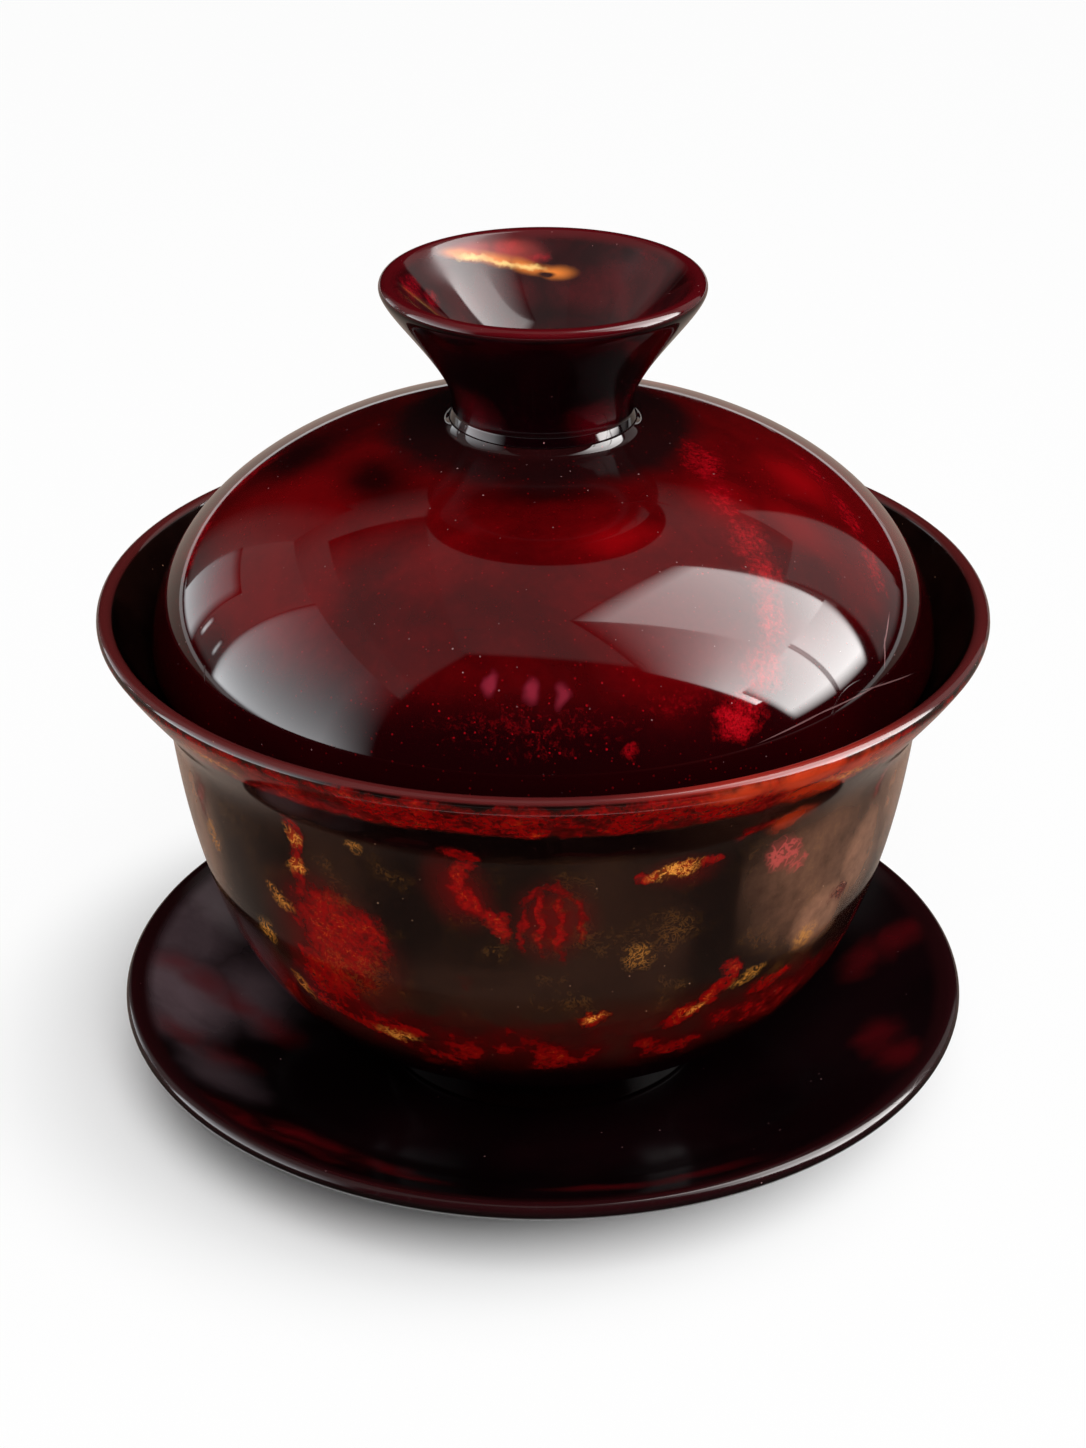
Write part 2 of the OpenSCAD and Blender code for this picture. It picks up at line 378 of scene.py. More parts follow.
PANES = [
    ("haze_middle", ceiling((-0.32, -0.41), (1.9, -0.75), (1.9, 1.35), (-0.32, 1.05)),
     [0.31, 0.36, 0.45, 0.24], WARM, (0.02, 0, 0.25, 0)),
    ("haze_left", ceiling((-2.2, -1.95), (-0.31, -0.40), (-0.31, 1.05), (-2.2, 1.4), drop=-0.002),
     [0.5, 0.31, 0.24, 0.4], WARM, (0.02, 0, 0.25, 0)),
    ("haze_strip", ceiling((-0.76, -0.76), (-0.33, -0.42), (-0.33, 0.70), (-0.76, 0.75), drop=0.01),
     [0.29, 0.25, 0.25, 0.29], WARM, (0.02, 0, 0.3, 0)),
    ("reveal_low", ceiling((0.09, -0.14), (0.47, -0.55), (2.4, -1.10), (2.4, -0.10), drop=0.02),
     [3.6, 5.4, 17, 17], PLAIN, (0.38, 0.03, 0, 0)),
    ("reveal_high", ceiling((0.09, -0.14), (2.4, -0.10), (2.4, 0.90), (0.40, 0.32), drop=0.02),
     [3.6, 17, 17, 6.2], PLAIN, (0, 0, 0.03, 0.05)),
    ("window_far", side_wall(1, (0.44, 0.62), (0.0, 0.66), (0.0, 0.09), (0.26, 0.09)),
     [8, 11, 17, 16], PLAIN, (0, 0.02, 0.2, 0.12)),
    ("window_near", side_wall(1, (-0.02, 0.66), (-0.50, 0.62), (-0.32, 0.10), (-0.02, 0.09)),
     [11, 8, 16, 17], PLAIN, (0, 0.12, 0.2, 0.02)),
    ("window_bar", side_wall(1.01, (0.02, 0.66), (-0.04, 0.66), (-0.04, 0.11), (0.02, 0.11)),
     [5, 5, 5, 5], PLAIN, (0, 0, 0.2, 0)),
    ("left_pane_low", side_wall(-1, (-0.95, -0.03), (0.27, -0.03), (0.27, 0.5), (-0.95, 0.5)),
     [3.6, 8.5, 2.2, 1.2], COOL, (0.04, 0.03, 0, 0.35)),
    ("left_pane_high", side_wall(-1, (-0.95, 0.5), (0.27, 0.5), (0.27, 1.0), (-0.95, 1.0)),
     [1.2, 2.2, 0.6, 0.45], COOL, (0, 0.03, 0, 0.35)),
    ("far_pane", side_wall(-1, (0.55, -0.02), (1.15, -0.02), (1.05, 0.55), (0.55, 0.50)),
     [4.0, 3.0, 0.5, 0.7], COOL, (0.06, 0.2, 0.15, 0.15)),
    ("left_wall", side_wall(-1.02, (0.2, 0.0), (1.7, 0.0), (1.7, 1.0), (0.2, 1.0)),
     [0.35, 0.25, 0.25, 0.40], WARM, (0.05, 0.1, 0, 0)),
    ("latch_low", side_wall(-0.99, (0.31, 0.08), (0.34, 0.08), (0.34, 0.22), (0.31, 0.22)),
     [6, 6, 3, 3], COOL, (0.3,) * 4),
    ("latch_high", side_wall(-0.99, (0.48, 0.08), (0.52, 0.08), (0.52, 0.24), (0.48, 0.24)),
     [6, 6, 3, 3], COOL, (0.3,) * 4),
    ("back_left", back_wall((-1.02, 0.0), (-0.62, 0.0), (-0.62, 1.0), (-1.02, 1.0)),
     [0.35, 0.08, 0.06, 0.2], WARM, (0.05, 0.4, 0, 0)),
    ("back_right", back_wall((0.97, 0.05), (1.03, 0.05), (1.03, 1.0), (0.62, 1.0)),
     [0.45, 0.5, 0.5, 0.45], WARM, (0.05, 0, 0, 0.08)),
    ("right_wall", side_wall(1.02, (0.34, 0.0), (1.0, 0.0), (1.0, 1.0), (0.53, 1.0)),
     [0.4, 0.45, 0.5, 0.6], WARM, (0.05, 0, 0, 0.05)),
]
for row in PANES:
    pane(*row)

DISC_MIDDLE, DISC_ACROSS, DISC_ALONG = (0.01, 0.64), 0.335, 0.41
disc_rim = [(DISC_MIDDLE[0] + DISC_ACROSS * math.cos(t), DISC_MIDDLE[1] + DISC_ALONG * math.sin(t))
            for t in floor_turns]
disc_rim = ceiling(*disc_rim, drop=0.03)
dark_disc = stage_mesh("dark_disc", disc_rim, [range(FLOOR_EDGES)])
only_in_gloss(dark_disc, [BLACK_CLOTH] * FLOOR_EDGES)
print("panes hung:", len(PANES))

# %% [markdown]
# ## Curves for the lathe
# Each piece is a solid of revolution, so its whole shape is in one section: half an outline from the axis
# out and back. The section could be drawn by hand, but the maker's curves are simple: straight walls, cubic
# curves that leave one slope and reach another, and round lips. The same few functions that shape the
# solids shape these finer copies.

# %% Curve helpers
MM = 0.001
CURVE_STEPS = 44
ARC_STEPS = 12
EASE_STEPS = 4


def slope(angle):
    """Direction of a line that rises by an angle."""
    return Vector((math.cos(math.radians(angle)), math.sin(math.radians(angle))))


def inward(direction):
    """The side of a rising wall that faces the axis."""
    return Vector((-direction.y, direction.x))


def at(*radius_and_height):
    """A point of a section."""
    return Vector(radius_and_height)


def cubic(p, inset=0.0):
    """Points along a cubic curve, set in from it by a wall."""
    points = []
    for i in range(CURVE_STEPS + 1):
        t = i / CURVE_STEPS
        s = 1 - t
        point = s**3 * p[0] + 3 * s * s * t * p[1] + 3 * s * t * t * p[2] + t**3 * p[3]
        along = s * s * (p[1] - p[0]) + 2 * s * t * (p[2] - p[1]) + t * t * (p[3] - p[2])
        points.append(point + inset * inward(along.normalized()))
    return points


def arc(centre, radius, start, end):
    """Points round a centre, between two angles."""
    return [centre + radius * slope(start + (end - start) * i / ARC_STEPS) for i in range(ARC_STEPS + 1)]


def lip(centre, radius, angle):
    """Rounded end of a wall that rises by an angle, from its outside to its inside."""
    return arc(centre, radius, angle - 90, angle + 90)


def eased(corners, radius):
    """The same corners, each rounded off by a small radius."""
    points = [corners[0]]
    for before, corner, after in zip(corners, corners[1:], corners[2:]):
        start = corner + radius * (before - corner).normalized()
        end = corner + radius * (after - corner).normalized()
        for i in range(EASE_STEPS + 1):
            t = i / EASE_STEPS
            points.append((1 - t) ** 2 * start + 2 * t * (1 - t) * corner + t * t * end)
    return points + [corners[-1]]


def box_in_mm(name):
    """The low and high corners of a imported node."""
    low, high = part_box(name)
    return low / MM, high / MM


print("curve helpers ready")

# %% [markdown]
# ## The lathe
# Blender's spin turns a section into a surface, as a lathe does. Fine steps keep the outline round and the
# mirror-like reflections clean. Hand polishing never leaves a perfect surface of revolution: it dips a few
# hundredths of a millimetre here and there, always inward, and that is what makes the reflections swim a
# little. The dips follow a fixed noise, so every run gives the same piece.

# %% Turn a section
LATHE_STEPS = 192
MERGE = 1e-7
POLISH_DIP = 0.05 * MM
POLISH_SCALE = 60.0  # dips per metre
SHARP_EDGE = math.radians(40)


def turn(name, section, body, slot):
    """One closed piece, spun from its section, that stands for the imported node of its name."""
    work = bmesh.new()
    row = [work.verts.new((p.x * MM, 0, p.y * MM)) for p in section]
    edges = [work.edges.new(pair) for pair in zip(row, row[1:])]
    bmesh.ops.spin(work, geom=row + edges, cent=(0, 0, 0), axis=(0, 0, 1), angle=2 * math.pi,
                   steps=LATHE_STEPS, use_merge=True)
    bmesh.ops.remove_doubles(work, verts=work.verts, dist=MERGE)
    bmesh.ops.recalc_face_normals(work, faces=work.faces)
    work.normal_update()
    dips = [POLISH_DIP * (0.5 + 0.5 * noise.noise(v.co * POLISH_SCALE)) * v.normal for v in work.verts]
    for vertex, dip in zip(work.verts, dips):
        vertex.co -= dip
    mesh = bpy.data.meshes.new(name + "_turned")
    work.to_mesh(mesh)
    work.free()
    mesh.shade_smooth()
    mesh.set_sharp_from_angle(angle=SHARP_EDGE)
    piece = bpy.data.objects.new(name + "_turned", mesh)
    scene.collection.objects.link(piece)
    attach(piece, body)
    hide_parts(name)
    print(piece.name, len(mesh.vertices), "vertices")
    return piece


# %% [markdown]
# ## The saucer
# A shallow dish on a low foot ring, with a rounded rim. The dish stays level under the bowl, then sweeps up
# to the rim. One cubic curve gives its upper face, and the same curve set down by the wall gives its
# underside.

# %% Turn the saucer
saucer_high = box_in_mm("saucer")[1]
bowl_low, bowl_high = box_in_mm("bowl")
saucer_wall = 2.1
saucer_rim_angle = 26
saucer_foot_r = 23
saucer_foot_w = 2.6
saucer_level_reach = 13
saucer_rim_reach = 9
foot_ease = 0.5

floor_z = bowl_low.z
saucer_foot_h = floor_z - saucer_wall
saucer_foot_in = saucer_foot_r - saucer_foot_w
saucer_lip_r = saucer_wall / 2
saucer_lip = at(saucer_high.x - saucer_lip_r, saucer_high.z - saucer_lip_r)
saucer_edge = saucer_lip + saucer_lip_r * inward(slope(saucer_rim_angle))
dish_curve = [at(saucer_foot_r, floor_z), at(saucer_foot_r + saucer_level_reach, floor_z),
              saucer_edge - saucer_rim_reach * slope(saucer_rim_angle), saucer_edge]
dish = cubic(dish_curve)
saucer_under = eased([
    at(0, saucer_foot_h), at(saucer_foot_in, saucer_foot_h), at(saucer_foot_in, 0), at(saucer_foot_r, 0),
    at(saucer_foot_r, saucer_foot_h), at(saucer_foot_r + foot_ease, saucer_foot_h)], foot_ease)
saucer_section = (saucer_under[:-2] + cubic(dish_curve, -saucer_wall)[1:]
                  + lip(saucer_lip, saucer_lip_r, saucer_rim_angle) + dish[::-1] + [at(0, floor_z)])
saucer = turn("saucer", saucer_section, "saucer", "saucer_amber")

# %% [markdown]
# ## The bowl
# A thin wall that swells from a waisted foot, straightens at a neck and flares out to a rounded rim. Two
# cubic curves meet at the neck. The inside is the outside set in by the wall, so the wall has one thickness
# all the way up, as a turner would leave it.

# %% Turn the bowl
bowl_wall = 1.9
rim_angle = 59
neck_angle = 84
flare_out = 7.5
neck_drop = 13.9
flare_reach = 5.5
neck_reach = 4.5
shoulder_reach = 16
belly_reach = 15.8
foot_r = 19.4
foot_w = 2.8
foot_h = 7
waist_in = 0.9
waist_fillet = 1.5

rim_r, rim_top = bowl_high.x, bowl_high.z
bowl_lip_r = bowl_wall / 2
bowl_lip = at(rim_r - bowl_lip_r, rim_top - bowl_lip_r)
foot_top = floor_z + foot_h
waist = at(foot_r - waist_in + waist_fillet, foot_top - waist_fillet)
neck = at(rim_r - flare_out, rim_top - neck_drop)
rim_edge = bowl_lip - bowl_lip_r * inward(slope(rim_angle))
body_curve = [at(waist.x, foot_top), at(waist.x + belly_reach, foot_top),
              neck - shoulder_reach * slope(neck_angle), neck]
flare_curve = [neck, neck + neck_reach * slope(neck_angle),
               rim_edge - flare_reach * slope(rim_angle), rim_edge]
bowl_face = cubic(body_curve) + cubic(flare_curve)[1:]
bowl_inside = cubic(body_curve, bowl_wall) + cubic(flare_curve, bowl_wall)[1:]
bowl_under = eased([at(0, foot_top), at(foot_r - foot_w, foot_top), at(foot_r - foot_w, floor_z),
                    at(foot_r, floor_z), at(waist.x - waist_fillet, waist.y)], foot_ease)
bowl_section = (bowl_under[:-1] + arc(waist, waist_fillet, 180, 90) + bowl_face
                + lip(bowl_lip, bowl_lip_r, rim_angle) + bowl_inside[::-1] + [at(0, foot_top + bowl_wall)])
bowl = turn("bowl", bowl_section, "bowl", "bowl_amber")

# %% [markdown]
# ## The lid
# A dome with a rounded edge that drops inside the bowl's flare, and a small collar at the crown for the
# knob. The dome is half an ellipse with a slightly flattened crown, so its highlight stretches without a
# kink.

# %% Turn the lid
lid_low, lid_high = box_in_mm("lid")
knob_low, knob_high = box_in_mm("lid_knob")
lid_wall = 2.2
lid_rise = 26.1
crown_flat = 2.2
crown_t = 1.6
collar_reach = 0.9
collar_angle = 63
collar_hollow = 0.45
collar_ledge = 0.15
tenon_r = 5
tenon_gap = 0.1
skirt_out = 0.3
knob_neck_r = 9.9

dome_r, land_z = lid_high.x, lid_high.z
lid_edge_r = lid_wall / 2
lid_edge = at(dome_r - lid_edge_r, lid_low.z + lid_edge_r)
skirt_r = knob_neck_r + skirt_out
land_edge = at(skirt_r + collar_ledge, land_z)
socket_r = tenon_r + tenon_gap
socket_z = knob_low.z - tenon_gap


def dome_arc(across, height, start, end):
    """Points of the flattened half ellipse, between two angles up from the lid's edge."""
    angles = [math.radians(start + (end - start) * i / CURVE_STEPS) for i in range(CURVE_STEPS + 1)]
    return [at(across * max(0, math.cos(a)) ** (2 / crown_flat), lid_edge.y + height * math.sin(a))
            for a in angles]


def dome_angle(radius):
    """The angle at which the dome has a radius."""
    return math.degrees(math.acos((radius / dome_r) ** (crown_flat / 2)))


dome = dome_arc(dome_r, lid_rise, 0, dome_angle(land_edge.x + collar_reach))
dome_run = (dome[-1] - dome[-2]).normalized()
collar_curve = [dome[-1], dome[-1] + collar_hollow * dome_run,
                land_edge - collar_hollow * slope(180 - collar_angle), land_edge]
lid_inside = dome_arc(dome_r - lid_wall, socket_z - crown_t - lid_edge.y, 90, 0)
lid_section = (lid_inside + arc(lid_edge, lid_edge_r, 180, 360) + dome + cubic(collar_curve)[1:]
               + [at(socket_r, land_z), at(socket_r, socket_z), at(0, socket_z)])
lid = turn("lid", lid_section, "lid", "lid_amber")

# %% [markdown]
# ## The knob
# A trumpet with a funnel cup in its top and a small skirt where it meets the lid, which carries on the
# collar's slope. It is glued in by a hidden tenon, so it moves with the lid. It stays a piece of its own
# because it was turned apart, from darker amber.

# %% Turn the knob
knob_lip_t = 1.9
knob_lip_angle = 72
knob_lip_reach = 2.5
knob_neck_reach = 4.1
skirt_h = 1.0
neck_straight = 0.6
skirt_ease = 0.18
cup_depth = 11
cup_floor_r = 1.5
cup_floor_reach = 4.4
cup_angle = 48
cup_wall_reach = 11

knob_top = knob_high.z
knob_lip_r = knob_lip_t / 2
knob_lip = at(knob_high.x - knob_lip_r, knob_top - knob_lip_r)
knob_edge = knob_lip - knob_lip_r * inward(slope(knob_lip_angle))
cup_edge = knob_lip + knob_lip_r * inward(slope(cup_angle))
neck_foot = at(knob_neck_r, land_z + skirt_h)
skirt = eased([at(tenon_r, land_z), land_edge, neck_foot, neck_foot + at(0, neck_straight)], skirt_ease)
cup_z = knob_top - cup_depth
trumpet = cubic([skirt[-1], skirt[-1] + at(0, knob_neck_reach),
                 knob_edge - knob_lip_reach * slope(knob_lip_angle), knob_edge])
cup = cubic([at(cup_floor_r, cup_z), at(cup_floor_r + cup_floor_reach, cup_z),
             cup_edge - cup_wall_reach * slope(cup_angle), cup_edge])
knob_section = ([at(0, knob_low.z), at(tenon_r, knob_low.z)] + skirt + trumpet[1:]
                + arc(knob_lip, knob_lip_r, knob_lip_angle - 90, cup_angle + 90)
                + cup[::-1] + [at(0, cup_z)])
knob = turn("lid_knob", knob_section, "lid", "knob_amber")

# %% [markdown]
# ## Drifting clouds in the amber
# Amber set slowly and its colour drifted, so no patch in it has a ruled edge. A noise that pushes every
# point a little sideways gives that drift to whatever is drawn after it. It is a node group because all
# four pieces need it.

# %% Group: drift
drift, entry, leave = new_group(
    "drift", {"Vector": None, "Scale": 100.0, "Reach": 0.002}, {"Vector": "Vector"})
swirl = node(drift, "TexNoise", {"Vector": entry["Vector"], "Scale": entry["Scale"], "Detail": 3.0})
offset = vectors(drift, "SUBTRACT", swirl.outputs["Color"], (0.5, 0.5, 0.5))
push = node(drift, "VectorMath", {0: offset, "Scale": entry["Reach"]}, operation="SCALE").outputs["Vector"]
drift.links.new(vectors(drift, "ADD", entry["Vector"], push), leave["Vector"])


def drifted(tree, vector, scale, reach):
    """A place pushed sideways by the drift, by up to half the reach, in metres."""
    return use(tree, drift, Vector=vector, Scale=scale, Reach=reach)["Vector"]


print("group:", drift.name)

# %% [markdown]
# ## The body of the amber
# Under the bright flakes the amber is dark and uneven: broad clouds, and a fine mottle inside them. One
# flat colour would look like plastic, so two noises of different size mix a dark and a light shade.

# %% Group: amber body
amber_body, entry, leave = new_group(
    "amber_body", {"Vector": None, "Scale": 40.0, "Dark": BLACK, "Light": WHITE}, {"Color": "Color"})
broad = clouds(amber_body, entry["Vector"], entry["Scale"], 4.0, 0.5, 0.6)
fine = clouds(amber_body, entry["Vector"], times(amber_body, entry["Scale"], 16.0), 4.0, 0.6, 1.0)
shade = span(amber_body, maths(amber_body, "MULTIPLY_ADD", fine, 0.16, broad), 0.40, 0.80)
amber_body.links.new(blend(amber_body, shade, entry["Dark"], entry["Light"]), leave["Color"])


def body_of(tree, place, scale, dark, light):
    """The amber's body between two colours."""
    return use(tree, amber_body, Vector=place, Scale=scale, Dark=srgb(*dark), Light=srgb(*light))["Color"]


print("group:", amber_body.name)

# %% [markdown]
# ## Patches and streaks at chosen places
# The photograph shows where the bright inclusions lie. Each could be painted in an image, but the finish
# has to stay a web of nodes, so each patch is a soft ball: one group measures how far a point lies from the
# ball's middle along its three axes, and fades it out. A Mapping node could do the measuring, but Cycles
# works out all Mapping nodes of a material before it uses any, and its memory for that is small. A patch is
# written as a maker would point at it: the angle round from the front, how high or how far out it lies, and
# its half sizes. A streak is a row of long patches.

# %% Group: soft patch
AXES = ("Across", "Deep", "Up")
soft_patch, entry, leave = new_group(
    "soft_patch", {"Vector": None, "Middle": None, **dict.fromkeys(AXES), "Soft": 0.6, "Strength": 1.0},
    {"Mask": "Float"})
away = vectors(soft_patch, "SUBTRACT", entry["Vector"], entry["Middle"])
steps = [vectors(soft_patch, "DOT_PRODUCT", away, entry[axis]) for axis in AXES]
ball = node(soft_patch, "CombineXYZ", dict(enumerate(steps))).outputs[0]
inner = maths(soft_patch, "SUBTRACT", 1.0, entry["Soft"])
mask = span(soft_patch, vectors(soft_patch, "LENGTH", ball), inner, 1.0, 1.0, 0.0)
soft_patch.links.new(times(soft_patch, mask, entry["Strength"]), leave["Mask"])
print("group:", soft_patch.name)

# %% Place patches and streaks on a face
BY_RADIUS, BY_HEIGHT = 0, 1
ON_BOWL, ON_NECK = (bowl_face, BY_HEIGHT), (trumpet, BY_HEIGHT)
ON_DOME, ON_DISH, ON_CUP = (dome, BY_RADIUS), (dish, BY_RADIUS), (cup, BY_RADIUS)
LEAST_DEPTH = 4  # millimetres that a patch reaches into the wall
STREAK_OVERLAP = 1.8


def seat(ground, level):
    """Where a turned face reaches a radius or a height, and how far it leans back there."""
    face, by = ground
    for start, end in zip(face, face[1:]):
        low, high = sorted((start[by], end[by]))
        if low <= level <= high and high > low:
            along = end - start
            point = start + (level - start[by]) / (end[by] - start[by]) * along
            return point, math.atan2(-along.x, along.y)
    raise ValueError(f"no part of this face is at {level}")


def streaks(ground, ways):
    """Long patches in rows. Each row has way points, as angle and level, a half width and a strength."""
    places = []
    for way, wide, strength in ways:
        for (turn_a, level_a), (turn_b, level_b) in zip(way, way[1:]):
            start, end = seat(ground, level_a)[0], seat(ground, level_b)[0]
            across = math.radians(turn_b - turn_a) * (start.x + end.x) / 2
            up = math.copysign((end - start).length, end.y - start.y)
            tall = STREAK_OVERLAP * math.hypot(across, up) / 2 + wide / 2
            lean = math.degrees(math.atan2(across, up))
            places.append(((turn_a + turn_b) / 2, (level_a + level_b) / 2, wide, tall, lean, strength))
    return places


def patches(tree, vector, ground, places, soft):
    """One mask for all the patches of a face: at each point, the strongest of them."""
    total = 0.0
    for angle, level, wide, tall, lean, strength in places:
        point, tilt = seat(ground, level)
        round_axis = Matrix.Rotation(math.radians(angle), 3, "Z")
        stance = round_axis @ Matrix.Rotation(-tilt, 3, "X") @ Matrix.Rotation(math.radians(lean), 3, "Y")
        middle = round_axis @ Vector((0, -point.x, point.y)) * MM
        sizes = wide, max(LEAST_DEPTH, wide, tall), tall
        axes = {axis: stance.col[i] / (sizes[i] * MM) for i, axis in enumerate(AXES)}
        patch = use(tree, soft_patch, Vector=vector, Middle=middle, **axes, Soft=soft, Strength=strength)
        total = maths(tree, "MAXIMUM", patch["Mask"], total)
    return total


print("patches can be placed")

# %% [markdown]
# ## Embers
# Where sap met plant fragments the amber holds red flakes: cloudy at their edges, threaded with bright
# fibres and dotted with black pits. The group takes a heat, from none to full. A noise eats into the heat
# at the edges, so a plain oval comes out ragged, and the rest runs through three colours. Each piece gives
# its own: the bowl's embers turn orange, the lid's stay crimson.

# %% Group: embers
embers, entry, leave = new_group(
    "embers", {"Vector": None, "Heat": 0.0, "Scale": 700.0,
               "Body": BLACK, "Low": BLACK, "Middle": BLACK, "High": WHITE}, {"Color": "Color"})
place, given, scale = entry["Vector"], entry["Heat"], entry["Scale"]
rag = maths(embers, "SUBTRACT", clouds(embers, place, times(embers, scale, 0.55), 7.0, 0.72, 0.4), 0.5)
rag = times(embers, rag, times(embers, maths(embers, "SQRT", given), 3.4))
heat = maths(embers, "MULTIPLY_ADD", given, 1.6, maths(embers, "SUBTRACT", rag, 0.3))
fibre = ridge(embers, clouds(embers, place, times(embers, scale, 0.7), 4.0, 0.6, 1.8), 0.016)
fibre = times(embers, fibre, span(embers, heat, 0.80, 1.50))
pits = node(embers, "TexVoronoi", {"Vector": place, "Scale": scale}).outputs
pit_chance = node(embers, "SeparateColor", {"Color": pits["Color"]}).outputs["Red"]
pits = times(embers, span(embers, pits["Distance"], 0.14, 0.30, 1.0, 0.0),
             maths(embers, "GREATER_THAN", pit_chance, 0.55))
grain = clouds(embers, place, times(embers, scale, 1.9), 3.0, 0.7)
colour = blend(embers, span(embers, heat, 0.30, 0.95), entry["Low"], entry["Middle"])
colour = blend(embers, span(embers, grain, 0.36, 0.58, 0.40, 1.0), entry["Body"], colour)
colour = blend(embers, fibre, colour, entry["High"])
colour = blend(embers, times(embers, pits, 0.75), colour, entry["Body"])
embers.links.new(blend(embers, span(embers, heat, 0.0, 0.45), entry["Body"], colour), leave["Color"])


def burnt(tree, place, body, heat, scale, low, middle, high):
    """A body colour with embers burnt into it, in three colours."""
    colours = {"Low": srgb(*low), "Middle": srgb(*middle), "High": srgb(*high)}
    return use(tree, embers, Vector=place, Heat=heat, Scale=scale, Body=body, **colours)["Color"]


print("group:", embers.name)

# %% [markdown]
# ## Gold feathers
# Fine golden threads fan out where resin crazed along a fragment. A ridged noise, thin and stretched by
# drift, gives threads that branch; a mask keeps them to small tufts.

# %% Group: gold feathers
feathers, entry, leave = new_group(
    "gold_feathers", {"Vector": None, "Mask": 0.0, "Scale": 500.0, "Body": BLACK, "Gold": WHITE},
    {"Color": "Color"})
strand = ridge(feathers, clouds(feathers, entry["Vector"], entry["Scale"], 4.0, 0.65, 2.0), 0.055, 0.06)
amount = times(feathers, entry["Mask"], strand, clamp=True)
feathers.links.new(blend(feathers, amount, entry["Body"], entry["Gold"]), leave["Color"])
print("group:", feathers.name)

# %% [markdown]
# ## Specks and polishing marks
# A glossy dark piece shows every speck of dust, and the lid has tiny red sparkles as well. Both are a cell
# noise whose cells are mostly left empty, with a small dot in the others. The polishing marks are hair-thin
# curved lines and a slow drift in the shine.

# %% Group: specks
specks, entry, leave = new_group(
    "specks", {"Vector": None, "Scale": 900.0, "Size": 0.12, "Chance": 0.15, "Amount": 1.0,
               "Body": BLACK, "Speck": WHITE}, {"Color": "Color"})
cell = node(specks, "TexVoronoi", {"Vector": entry["Vector"], "Scale": entry["Scale"]}).outputs
chance = node(specks, "SeparateColor", {"Color": cell["Color"]}).outputs
size = times(specks, entry["Size"], maths(specks, "MULTIPLY_ADD", chance["Green"], 0.7, 0.3))
dot = span(specks, cell["Distance"], times(specks, size, 0.5), size, 1.0, 0.0)
dot = times(specks, dot, maths(specks, "LESS_THAN", chance["Red"], entry["Chance"]))
dot = times(specks, dot, maths(specks, "MULTIPLY_ADD", chance["Blue"], 0.7, 0.3))
dot = times(specks, dot, entry["Amount"], clamp=True)
specks.links.new(blend(specks, dot, entry["Body"], entry["Speck"]), leave["Color"])


def dusted(tree, place, body, scale, chance, speck, **more):
    """A body colour with specks of another strewn over it."""
    colours = {"Body": body, "Speck": srgb(*speck)}
    return use(tree, specks, Vector=place, Scale=scale, Chance=chance, **colours, **more)["Color"]


print("group:", specks.name)

# %% Group: polishing marks
polish, entry, leave = new_group(
    "polishing_marks", {"Vector": None, "Smooth": 0.04, "Dull": 0.12},
    {"Roughness": "Float", "Height": "Float"})
smear = span(polish, clouds(polish, entry["Vector"], 90.0, 5.0, 0.6), 0.42, 0.80)
gate = span(polish, clouds(polish, entry["Vector"], 140.0, 1.0), 0.52, 0.62)
hair = times(polish, ridge(polish, clouds(polish, entry["Vector"], 55.0, 1.0), 0.004), gate)
rub = maths(polish, "MAXIMUM", times(polish, smear, 0.6), hair)
worn = maths(polish, "SUBTRACT", entry["Dull"], entry["Smooth"])
polish.links.new(maths(polish, "MULTIPLY_ADD", rub, worn, entry["Smooth"]), leave["Roughness"])
polish.links.new(maths(polish, "SUBTRACT", times(polish, smear, 0.3), hair), leave["Height"])
print("groups:", sorted(g.name for g in bpy.data.node_groups))

# %% [markdown]
# ## One way to start each finish
# All four pieces share the same polish, so one function makes the material, gives it amber's refractive
# index and wires in the polishing marks. Each piece then only has to make its own colour. A few more
# helpers read where a point is: how high, how far out, how far round from the front, and whether it lies on
# the outside.

# %% Start a finish
AMBER_IOR = 1.54
MARK_STRENGTH, MARK_DEPTH = 0.15, 0.02  # the marks' depth is in millimetres
RIM_FROM, RIM_FULL = 1.2, 0.3  # millimetres below a top at which the rim's colour begins, and is full


def start_finish(name, piece, smooth, dull):
    """A polished amber material on a piece: its tree, its shader, and the place on the piece."""
    material = bpy.data.materials.new(name)
    material.use_nodes = True
    tree = material.node_tree
    shader = tree.nodes["Principled BSDF"]
    shader.inputs["IOR"].default_value = AMBER_IOR
    place = node(tree, "TexCoord").outputs["Object"]
    marks = use(tree, polish, Vector=place, Smooth=smooth, Dull=dull)
    depth = {"Height": marks["Height"], "Strength": MARK_STRENGTH, "Distance": MARK_DEPTH * MM}
    tree.links.new(marks["Roughness"], shader.inputs["Roughness"])
    tree.links.new(node(tree, "Bump", depth).outputs["Normal"], shader.inputs["Normal"])
    piece.data.materials.append(material)
    return tree, shader, place


def add_wear(tree, shader, wear):
    """Adds wear to the roughness that a finish started with."""
    rough = shader.inputs["Roughness"]
    tree.links.new(maths(tree, "ADD", rough.links[0].from_socket, wear), rough)


def height_of(tree, place):
    """Height above the table, in millimetres."""
    return maths(tree, "DIVIDE", node(tree, "SeparateXYZ", {"Vector": place}).outputs["Z"], MM)


def level_part(tree, place):
    """The way from the axis to a place."""
    return vectors(tree, "MULTIPLY", place, (1, 1, 0))


def radius_of(tree, place):
    """Distance from the axis, in millimetres."""
    return maths(tree, "DIVIDE", vectors(tree, "LENGTH", level_part(tree, place)), MM)


def turn_of(tree, place):
    """Degrees round from the front, to the right above nought and to the left below it."""
    parts = node(tree, "SeparateXYZ", {"Vector": place}).outputs
    return maths(tree, "DEGREES", maths(tree, "ARCTAN2", parts["X"], times(tree, parts["Y"], -1.0)))


